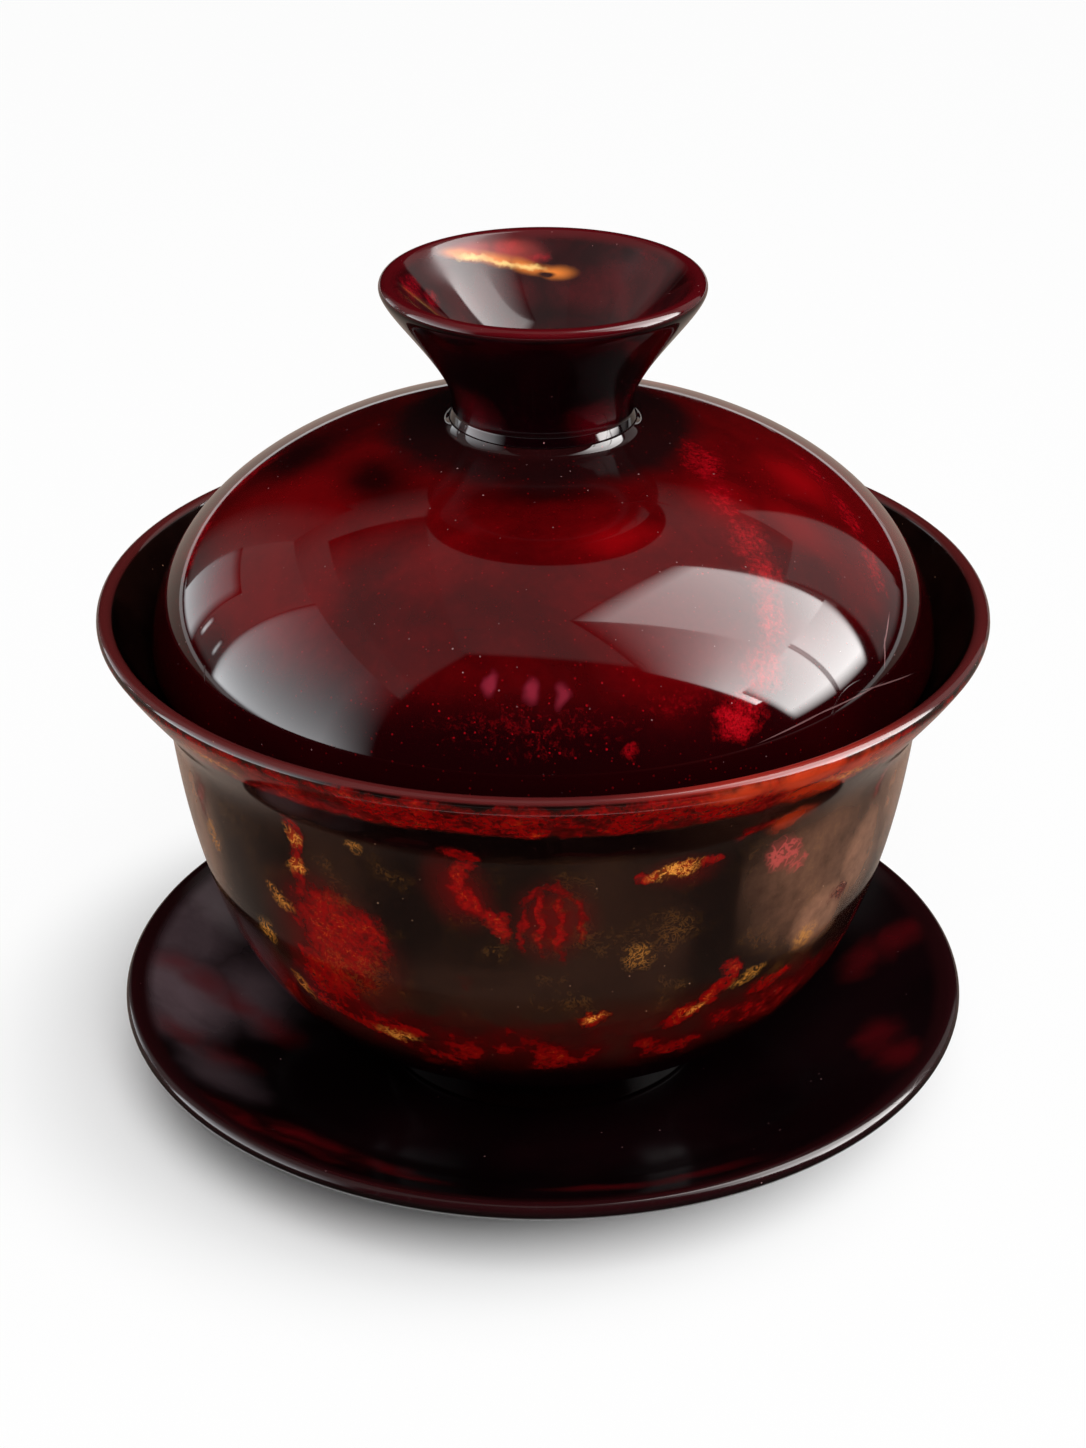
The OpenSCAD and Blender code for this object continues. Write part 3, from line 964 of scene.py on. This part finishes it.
def outside_of(tree, place):
    """One where a wall faces away from the axis, nought where it faces the axis."""
    away = vectors(tree, "NORMALIZE", level_part(tree, place))
    facing = node(tree, "TexCoord").outputs["Normal"]
    return span(tree, vectors(tree, "DOT_PRODUCT", away, facing), -0.1, 0.25)


def top_edge(tree, height, top):
    """One at a rounded rim, nought a little below it."""
    return span(tree, height, top - RIM_FROM, top - RIM_FULL)


def band(tree, value, low, high, fade):
    """One between two values, nought outside them, soft by a fade."""
    rising = span(tree, value, low - fade, low + fade)
    return times(tree, rising, span(tree, value, high - fade, high + fade, 1.0, 0.0))


print("finishes can start")

# %% [markdown]
# ## The bowl's finish: where things lie
# Brown-black amber that looks like smoked glass, with red flakes, gold feathers, a hot band under the lip
# and broken red patches low on the belly. The right side and the left edge are painted paler and cloudier,
# as a painted reflection. The places were read off the photograph. Each row is an angle from the front, a
# height, a half width, a half height, a lean, and a strength. The back has some of the same kind.

# %% Places on the bowl
BOWL_SHADES = [
    (-20, 42, 4.5, 12, 0, 0.7), (26, 41, 3.4, 12, 0, 0.9), (11, 35, 5, 7, 0, 0.4), (-52, 40, 4, 12, 0, 0.5),
    (5, 33, 9, 3.5, 0, 0.4),
]
BOWL_SHEENS = [
    (68, 47, 9, 13, 0, 1), (57, 41, 7, 9, 0, 0.85), (48, 36, 7, 6, 0, 0.85), (46, 43, 15, 13, 0, 0.4),
    (-72, 44, 13, 18, 0, 1), (160, 42, 20, 14, 0, 0.6),
]
BOWL_HALOS = [
    (-34, 35, 11, 13, -20, 0.75), (-12, 47, 5, 7, -20, 0.55), (1.5, 43.5, 6, 7, 0, 0.55),
    (20, 48.5, 6, 3, 0, 0.4), (95, 40, 9, 11, 20, 0.6), (178, 44, 7, 12, 18, 0.6),
    (255, 38, 9, 11, -15, 0.6),
]
BOWL_FLAKES = [
    (-33, 37, 8.5, 11, -22, 0.84), (-37, 30.5, 7.5, 7.5, -10, 0.84), (-28, 39, 5.5, 6.5, -35, 0.76),
    (1.5, 43, 6, 7, 0, 0.3), (-62, 47, 3, 6, 8, 0.5), (14.5, 48.4, 2.4, 1.2, 10, 0.85),
    (19.5, 48.8, 3, 1.5, -12, 0.95), (24.5, 49.3, 2.4, 1.2, -20, 0.85), (58, 49, 1.4, 3, 10, 0.6),
    (8, 29.3, 3, 1.9, -15, 0.95), (-24, 25, 5, 2, 5, 0.9), (40, 29, 5.5, 2.2, -8, 0.7),
    (40, 57, 6, 2.2, 0, 0.85), (52, 56.4, 7, 2.8, 0, 0.85), (66, 56.4, 8, 3, 0, 0.8),
    (-50, 57, 7, 2.2, 0, 0.8), (52, 37, 4, 3, 0, 0.35), (-12, 34, 4, 3, 20, 0.2),
    (30, 52.5, 4, 1.6, -25, 0.55), (95, 40, 6, 8, 20, 0.7), (128, 46, 3, 6, -30, 0.85),
    (150, 34, 7, 5, 10, 0.6), (178, 44, 4, 9, 18, 0.8), (205, 32, 5, 4, -20, 0.7), (228, 46, 2, 6, 35, 0.9),
    (255, 38, 6, 8, -15, 0.65), (282, 48, 4, 2, 10, 0.8),
]
BOWL_STREAKS = [
    ([(-37, 51.5), (-38, 47), (-38, 42.5)], 1.6, 0.8), ([(-12.8, 52.4), (-9, 52)], 1.8, 0.8),
    ([(-10, 51), (-12.4, 47.6)], 1.6, 0.78), ([(-12.4, 47.4), (-9.2, 44.4), (-5.4, 41.6)], 2, 0.84),
    ([(-6, 44.6), (-5.6, 42)], 1.2, 0.7), ([(-3.2, 45.4), (-3, 40)], 0.9, 0.64),
    ([(-0.6, 47.4), (-0.2, 39.4)], 0.9, 0.64), ([(2.4, 47.6), (2.6, 38.8)], 0.9, 0.64),
    ([(5.4, 45.6), (5.9, 41)], 0.9, 0.64), ([(-3.2, 45.4), (-0.6, 48), (2.6, 48), (5.4, 45.6)], 0.8, 0.54),
    ([(20, 27), (26, 29), (30.5, 31.8), (30.3, 34)], 2.1, 0.95),
    ([(-43, 27), (-36, 24.6), (-26, 24)], 2, 0.8),
]
BOWL_GLOWS = [
    (24, 60.4, 6, 1.8, 0, 0.8), (33, 60.2, 7, 2.4, 0, 1), (42, 59.6, 6, 2.6, 0, 0.9),
    (50, 58.4, 6, 2.6, 0, 0.6), (36, 57.4, 7, 2.6, 0, 0.8), (36, 52.4, 4, 2.8, 0, 0.7),
    (-44, 59.4, 8, 1.8, 0, 0.5), (150, 59, 9, 2.4, 0, 0.7), (235, 59, 7, 2, 0, 0.6),
]
BOWL_CURLS = [(36.5, 47.2, 3, 2.6, 15, 1), (39.5, 45, 1.6, 1.6, 0, 0.8), (58.5, 51.5, 1.4, 2.2, 0, 0.7)]
BOWL_FEATHERS = [
    (-38, 49, 1.3, 1.8, 0, 1), (-38, 44.8, 1.7, 1.5, 0, 1.2), (-43, 39.3, 2.6, 1.3, 32, 1.3),
    (-49, 33, 2.2, 2.2, 40, 1.2), (-27, 50.6, 1.2, 1.4, -20, 0.7), (-25, 24, 3.6, 1.2, 5, 1.3),
    (8, 29.5, 1.8, 0.9, -20, 1.7), (19, 48.7, 3.8, 1.4, -10, 1.8), (45, 33.5, 2.6, 2.2, 0, 0.9),
    (14, 38, 2.4, 2.6, 20, 0.45), (34, 31, 3, 1.2, -20, 0.9), (-44, 26.5, 1.4, 3, -35, 1),
    (25, 28.5, 2, 0.8, -30, 1.2), (110, 36, 3, 2.5, 10, 0.9), (140, 50, 2, 1.5, 0, 1),
    (42, 58, 7, 1.6, 0, 0.9), (-46, 58, 7, 1.6, 0, 0.9), (62, 57, 5, 2, 0, 1), (-66, 57, 5, 2, 0, 1),
    (190, 38, 2.5, 2.5, 0, 1.1), (240, 34, 3, 1.6, 30, 1), (300, 42, 2, 3, 0, 0.8),
]
print(len(BOWL_FLAKES) + len(BOWL_STREAKS), "flakes,", len(BOWL_FEATHERS), "feathers")

# %% Dress the bowl
FOOT_WEAR = 0.08  # roughness that the foot has over the rest
FOOT_SHINE = (-0.5, 1.5)  # millimetres from the foot's top over which that wear ends
SHEEN_RIGHT = (28.5, 30)  # degrees; the painted reflection on the right starts there as if cut
SHEEN_LEFT = (-30, -50)  # and the painted reflection at the left edge comes in slowly
LOW_EDGE = 2.6  # millimetres by which the low red band's edge wanders
LOW_RED, FOOT_DARK = (25, 31), (18.5, 24)  # heights over which the low red, and the foot's dark, end
SHADE_BAND, LIP_SHADE = (52.0, 56.0), (60.6, 61.6)  # heights painted nearly black at the front, as shade at the neck under the flare and under the lip
FRONT = (-33, 21)  # degrees; the front, where those heights carry painted shade

tree, shader, place = start_finish("bowl_amber", bowl, 0.06, 0.18)
above = height_of(tree, place)
add_wear(tree, shader, span(tree, above, *(foot_top + step for step in FOOT_SHINE), FOOT_WEAR, 0.0))
wavy = drifted(tree, place, 260.0, 0.0022)
ragged = drifted(tree, wavy, 900.0, 0.0018)
height, angle = height_of(tree, wavy), turn_of(tree, place)
mist = clouds(tree, place, 130.0, 7.0, 0.68)
broken = clouds(tree, place, 150.0, 4.0, 0.6)

body = body_of(tree, place, 45.0, (24, 12, 8), (48, 28, 20))
shades = patches(tree, wavy, ON_BOWL, BOWL_SHADES, 0.95)
body = blend(tree, times(tree, shades, 0.65), body, srgb(19, 9, 7))
# Painted reflection: a pale brown sheen on the right side, at the left edge and at the back.
sheen = times(tree, patches(tree, wavy, ON_BOWL, BOWL_SHEENS, 0.75), span(tree, mist, 0.08, 0.64))
cut = maths(tree, "MAXIMUM", span(tree, angle, *SHEEN_RIGHT), span(tree, angle, *SHEEN_LEFT))
body = blend(tree, times(tree, sheen, cut, clamp=True), body, srgb(168, 118, 92))
uneven = maths(tree, "ADD", height, span(tree, broken, 0.3, 0.7, -LOW_EDGE, LOW_EDGE))
low = times(tree, span(tree, uneven, *LOW_RED, 1.0, 0.0), span(tree, broken, 0.34, 0.52, 0.45, 1.0))
body = blend(tree, low, body, srgb(64, 5, 5))
body = blend(tree, patches(tree, wavy, ON_BOWL, BOWL_HALOS, 1.0), body, srgb(104, 4, 6))
body = blend(tree, span(tree, height, *FOOT_DARK, 1.0, 0.0), body, srgb(15, 2, 2))
# Painted shade: at the front, a band at the neck under the flare and a line just under the lip go nearly
# black.
front = band(tree, angle, *FRONT, 8)
dark = maths(tree, "MAXIMUM", band(tree, height, *SHADE_BAND, 0.6), span(tree, height, *LIP_SHADE))
body = blend(tree, times(tree, times(tree, dark, front), 0.85), body, srgb(10, 3, 3))
print("bowl's ground laid,", len(tree.nodes), "nodes")

# %% [markdown]
# ## The bowl's fire and gold
# On that ground come the embers, which take their heat from the flakes and from two bands that a noise
# breaks up. An orange glow, a pink curl and the gold threads lie over them. The lining, painted near black
# as shade under the lid, and the lip come last, since no figure shows on either.

# %% Finish the bowl
LOW_BAND, HOT_BAND = (22.0, 28.5), (56.2, 61.2)  # heights of the two bands of embers
HAIR_BAND = (30, 50)  # heights between which fine gold hairs lie
LIP_WINE = 0.6  # millimetres of the rim that are plain wine
LIP_RED = (14, 46)  # degrees; the lip is redder there

low_heat = times(tree, band(tree, uneven, *LOW_BAND, 2.2), span(tree, broken, 0.40, 0.64, 0.14, 0.86))
hot_heat = times(tree, band(tree, height, *HOT_BAND, 0.7), span(tree, broken, 0.35, 0.62, 0.50, 0.86))
# The hot band is a little weaker at the front, a small painted shade.
hot_heat = times(tree, hot_heat, maths(tree, "MULTIPLY_ADD", front, -0.08, 1.0))
heat = patches(tree, ragged, ON_BOWL, BOWL_FLAKES + streaks(ON_BOWL, BOWL_STREAKS), 0.8)
heat = maths(tree, "MAXIMUM", heat, maths(tree, "MAXIMUM", hot_heat, low_heat))
body = burnt(tree, place, body, heat, 900.0, (84, 4, 4), (138, 6, 6), (220, 86, 28))
glows = patches(tree, ragged, ON_BOWL, BOWL_GLOWS, 0.8)
body = blend(tree, times(tree, glows, span(tree, broken, 0.3, 0.55, 0.4, 1.0)), body, srgb(198, 58, 24))
cells = node(tree, "TexVoronoi", {"Vector": ragged, "Scale": 750.0}, feature="DISTANCE_TO_EDGE")
crackle = span(tree, cells.outputs["Distance"], 0.04, 0.16, 0.9, 0.25)
curls = patches(tree, ragged, ON_BOWL, BOWL_CURLS, 0.5)
body = blend(tree, times(tree, curls, crackle), body, srgb(190, 78, 72))
tufts = patches(tree, ragged, ON_BOWL, BOWL_FEATHERS, 0.9)
hairs = times(tree, span(tree, mist, 0.48, 0.72, 0.0, 0.11), band(tree, height, *HAIR_BAND, 3.0))
tufts = maths(tree, "MAXIMUM", tufts, hairs)
gold = srgb(238, 156, 62)
body = use(tree, feathers, Vector=place, Mask=tufts, Scale=620.0, Body=body, Gold=gold)["Color"]
# Painted shade: the bowl's inside, under the lid, is near black.
shaded_lining = body_of(tree, place, 60.0, (6, 2, 2), (26, 11, 8))
body = blend(tree, outside_of(tree, place), shaded_lining, body)
lip_colour = blend(tree, band(tree, angle, *LIP_RED, 10), srgb(86, 28, 28), srgb(148, 38, 30))
body = blend(tree, span(tree, above, rim_top - LIP_WINE, rim_top - LIP_WINE / 2), body, lip_colour)
body = dusted(tree, place, body, 1100.0, 0.14, (206, 160, 128))
tree.links.new(body, shader.inputs["Base Color"])
print("bowl dressed,", len(tree.nodes), "nodes")

# %% [markdown]
# ## The lid's finish
# Clear wine-red amber with two speckled crimson streaks down its right side, a cluster where one of them
# ends, three pale marks and a dusting of red sparkles at the front. Here a patch's second number is how far
# out it lies.

# %% Places on the lid
LID_STREAKS = [
    ([(74, 16.6), (54.5, 21.6), (49, 26.8), (46, 31.1), (42, 35.4), (37, 38.6), (32, 41), (27.5, 42.4)],
     4.4, 0.54),
    ([(96, 27.7), (84, 31.7), (73, 35.7), (67, 39.3)], 2.8, 0.52),
    ([(150, 20), (138, 28), (134, 36), (136, 41)], 3.6, 0.7), ([(212, 22), (222, 30), (226, 38)], 3.2, 0.7),
    ([(262, 30), (270, 36), (284, 40)], 2.6, 0.6),
]
LID_FLAKES = [
    (27.5, 42.4, 4.4, 3.2, 0, 0.75), (12, 42.8, 1.6, 1.6, 0, 0.5), (-2, 41.6, 24, 6.5, 0, 0.23),
    (20, 40.6, 8, 3.5, 0, 0.3), (165, 36, 8, 5, -10, 0.5), (250, 36, 6, 6, 0, 0.5),
]
LID_GLOWS = [
    (80, 28, 7, 7, 0, 0.85), (52, 24, 6, 7, 0, 0.5), (62, 31, 6, 7, 0, 0.5), (18, 25, 7, 3.5, 0, 0.6),
    (170, 28, 12, 9, 0, 0.5),
]
LID_MARKS = [(-7.2, 39, 1, 1.9, 25, 1), (-1.7, 39.5, 1, 2, 15, 1), (2.9, 39.7, 1, 1.8, 5, 0.9)]
LID_SHADOWS = [
    (-58, 21, 9, 6, 0, 1), (-75, 40, 8, 8, 0, 0.8), (-91, 27, 9, 8, 0, 0.95), (-95, 40, 12, 9, 0, 0.7),
    (72, 42, 10, 8, 0, 0.6), (-120, 36, 14, 8, 0, 0.6), (-6, 42.8, 24, 7, 0, 1), (0, 44, 40, 5, 0, 0.95),
    (0, 17.5, 12, 3, 0, 0.8),
]
LID_SPARKLES = [(0, 41, 28, 8, 0, 1), (40, 33, 10, 14, 0, 0.9), (70, 27, 10, 12, 0, 0.7)]
LID_DUST = [(0, 16, 14, 6, 0, 1), (45, 15, 8, 5, 0, 1), (-45, 16, 9, 5, 0, 0.8), (25, 30, 16, 10, 0, 0.5)]
LID_HAIRS = [
    ([(64, 41), (60, 41.8), (58, 42.6)], 0.13, 0.5),
    ([(33, 43.2), (42, 43), (53, 43.1), (63, 43.6)], 0.1, 0.35),
]
CROWN_SHADE = (14.5, 19)  # millimetres from the axis over which the painted shade round the knob's base ends
EDGE_SHADE = (38.5, 43)  # and the painted shade at the edge, inside the bowl's flare, begins
print(len(LID_STREAKS), "streaks on the lid")

# %% Dress the lid
tree, shader, place = start_finish("lid_amber", lid, 0.035, 0.11)
wavy = drifted(tree, place, 220.0, 0.003)
ragged = drifted(tree, wavy, 800.0, 0.0016)
body = body_of(tree, place, 38.0, (60, 1, 3), (104, 2, 6))
body = blend(tree, patches(tree, wavy, ON_DOME, LID_GLOWS, 1.0), body, srgb(150, 3, 10))
shadows = patches(tree, wavy, ON_DOME, LID_SHADOWS, 0.9)
body = blend(tree, times(tree, shadows, 0.92, clamp=True), body, srgb(20, 1, 2))
out = radius_of(tree, wavy)
# Painted shade: greyish dark round the knob's base, and dark at the lid's edge inside the bowl's flare.
body = blend(tree, span(tree, out, *CROWN_SHADE, 0.9, 0.0), body, srgb(22, 9, 10))
body = blend(tree, span(tree, out, *EDGE_SHADE, 0.0, 0.9), body, srgb(26, 1, 3))
heat = patches(tree, ragged, ON_DOME, LID_FLAKES + streaks(ON_DOME, LID_STREAKS), 0.9)
body = burnt(tree, place, body, heat, 2400.0, (112, 2, 9), (176, 8, 22), (222, 50, 58))
sparkles = maths(tree, "MAXIMUM", patches(tree, wavy, ON_DOME, LID_SPARKLES, 0.8), 0.3)
body = dusted(tree, place, body, 1900.0, 0.30, (176, 8, 22), Size=0.32, Amount=sparkles)
marks = patches(tree, wavy, ON_DOME, LID_MARKS, 0.8)
body = blend(tree, times(tree, marks, 0.75, clamp=True), body, srgb(136, 34, 52))
hairs = patches(tree, place, ON_DOME, streaks(ON_DOME, LID_HAIRS), 0.5)
body = blend(tree, hairs, body, srgb(200, 150, 150))
dust = maths(tree, "MAXIMUM", patches(tree, wavy, ON_DOME, LID_DUST, 0.9), 0.35)
body = dusted(tree, place, body, 1100.0, 0.16, (236, 190, 190), Size=0.15, Amount=dust)
tree.links.new(body, shader.inputs["Base Color"])
print("lid dressed,", len(tree.nodes), "nodes")

# %% [markdown]
# ## The knob's finish
# Darker still: almost black outside, with a wine glow low on the neck. Inside the cup the amber is thinner,
# so it glows red-brown, with one golden flame and a small dark bubble on its far side. Painted shade
# darkens the cup's depth and two places high on its sides.

# %% Places on the knob
CUP_EMBERS = [
    (-98, 14.4, 4.4, 3, 0, 0.8), (-108, 12.6, 3, 2.6, 20, 0.7), (-163, 14.9, 6, 1.8, 0, 0.6),
    (-176, 14, 3.5, 1.6, 0, 0.55), (131, 15.4, 4, 1.2, 0, 0.4), (-20, 12, 5, 4, 0, 0.4),
    (40, 12, 4, 4, 0, 0.35),
]
CUP_SHADES = [(180, 9, 7, 3.6, 0, 1), (98, 15, 4, 2.5, 0, 0.7), (-95, 15.6, 4, 1.2, 0, 0.5)]
CUP_BUBBLE = [(178, 12.7, 1.3, 0.5, 0, 1)]
NECK_GLOWS = [
    (-48, 86, 4.8, 4.4, 0, 0.42), (36, 85.6, 5, 3.6, 0, 0.42), (64, 88, 2.4, 5, 0, 0.35),
    (150, 86, 4, 2, 0, 0.5),
]
CUP_HALO = [([(-140, 15.7), (-156, 15), (-174, 14.4)], 2.3, 0.6)]
CUP_FLAME = [([(-136, 15.3), (-150, 14.4), (-165, 13.6), (-180, 13), (-192, 12.8)], 1.2, 0.95)]
CUP_CORE = [([(-141, 14.9), (-154, 14.1), (-166, 13.4), (-178, 12.9)], 0.6, 0.9)]
CUP_DULL = (100, 125)  # degrees from the front over which the cup's wall turns dull
NECK_WEAR = 0.05  # roughness that the knob's flank has over the rest
CUP_WEAR = 0.20  # and the far side of the cup, up to the lip
print(len(CUP_EMBERS), "embers in the cup")

# %% Dress the knob
tree, shader, place = start_finish("knob_amber", knob, 0.07, 0.16)
wavy = drifted(tree, place, 300.0, 0.0022)
ragged = drifted(tree, wavy, 1000.0, 0.0009)
lazy = drifted(tree, place, 170.0, 0.0014)
outside = outside_of(tree, place)
inside = maths(tree, "SUBTRACT", 1.0, outside)
height = height_of(tree, place)


def in_cup(vector, places, soft):
    """A mask of patches that doesn't come through to the knob's outside."""
    return times(tree, patches(tree, vector, ON_CUP, places, soft), inside)


flank = times(tree, outside, band(tree, height, land_z + 3, knob_top - 3, 1.0))
behind = span(tree, maths(tree, "ABSOLUTE", turn_of(tree, place)), *CUP_DULL)
wall = times(tree, times(tree, inside, band(tree, height, knob_top - 3.2, knob_top - 1.0, 2.0)), behind)
add_wear(tree, shader, maths(tree, "MULTIPLY_ADD", wall, CUP_WEAR, times(tree, flank, NECK_WEAR)))

# Painted shade: darker deep in the cup and at two places high on its sides.
cup_shade = patches(tree, wavy, ON_CUP, CUP_SHADES, 0.95)
cup_body = body_of(tree, place, 110.0, (36, 5, 8), (84, 14, 20))
cup_body = blend(tree, times(tree, cup_shade, 0.85), cup_body, srgb(18, 3, 4))
body = blend(tree, outside, cup_body, body_of(tree, place, 70.0, (5, 0, 1), (20, 1, 4)))
glows = times(tree, patches(tree, wavy, ON_NECK, NECK_GLOWS, 1.0), outside)
body = blend(tree, glows, body, srgb(120, 6, 22))
heat = in_cup(wavy, CUP_EMBERS, 0.95)
body = burnt(tree, place, body, heat, 800.0, (92, 5, 16), (146, 10, 26), (196, 44, 40))
body = blend(tree, in_cup(lazy, streaks(ON_CUP, CUP_HALO), 1.0), body, srgb(190, 62, 54))
body = blend(tree, in_cup(lazy, streaks(ON_CUP, CUP_FLAME), 1.0), body, srgb(238, 132, 50))
body = blend(tree, in_cup(ragged, streaks(ON_CUP, CUP_CORE), 0.95), body, srgb(255, 214, 130))
body = blend(tree, in_cup(lazy, CUP_BUBBLE, 0.6), body, srgb(46, 12, 9))
body = blend(tree, top_edge(tree, height, knob_top), body, srgb(84, 8, 15))
body = dusted(tree, place, body, 1100.0, 0.12, (205, 140, 140))
tree.links.new(body, shader.inputs["Base Color"])
print("knob dressed,", len(tree.nodes), "nodes")

# %% [markdown]
# ## The saucer's finish
# The darkest amber of the set. Smoky red streaks drift round the dish, and a greyish painted reflection, a
# sheen of the room, lies on the left. Both are soft masks broken up by one cloud noise.

# %% Dress the saucer
SAUCER_SMOKE = [
    ([(-94, 45.8), (-93, 42.8), (-91, 39.6), (-87, 35.2), (-81, 31.2)], 4.4, 0.62),
    ([(-76, 45.5), (-71, 42.1), (-68, 38.1)], 4, 0.6), ([(101, 38.6), (100, 42.2), (101, 46.1)], 4.4, 0.6),
    ([(78, 39.7), (70, 42.5), (64, 45.1)], 4, 0.6), ([(-52, 46), (-40, 44), (-28, 44.5)], 3.6, 0.9),
    ([(-46, 41), (-33, 39.8), (-18, 41)], 4, 1), ([(4, 40.5), (16, 42), (30, 43.5)], 3.4, 0.8),
    ([(140, 38), (150, 42), (165, 43)], 4, 0.6), ([(180, 43), (200, 41), (220, 38)], 4, 0.6),
]
SAUCER_SHEENS = [
    (-94, 35, 12, 8, 0, 0.75), (-86, 44, 16, 11, 0, 1), (-64, 42, 10, 7, 0, 0.5), (-108, 45, 18, 11, 0, 1),
]

tree, shader, place = start_finish("saucer_amber", saucer, 0.12, 0.26)
wavy = drifted(tree, place, 120.0, 0.007)
body = body_of(tree, place, 40.0, (7, 2, 3), (20, 4, 7))
hazy = clouds(tree, wavy, 70.0, 5.0, 0.6)
# Painted reflection: a greyish sheen on the left of the dish.
dish_sheen = patches(tree, wavy, ON_DISH, SAUCER_SHEENS, 0.85)
body = blend(tree, times(tree, dish_sheen, span(tree, hazy, 0.25, 0.75, 0.5, 1.0)), body, srgb(112, 91, 97))
smoke = patches(tree, wavy, ON_DISH, streaks(ON_DISH, SAUCER_SMOKE), 1.0)
body = blend(tree, times(tree, smoke, span(tree, hazy, 0.30, 0.60), clamp=True), body, srgb(102, 7, 16))
rim = top_edge(tree, height_of(tree, place), saucer_high.z)
body = blend(tree, rim, body, srgb(36, 8, 11))
body = dusted(tree, place, body, 900.0, 0.10, (180, 140, 140))
tree.links.new(body, shader.inputs["Base Color"])
print("saucer dressed,", len(tree.nodes), "nodes")
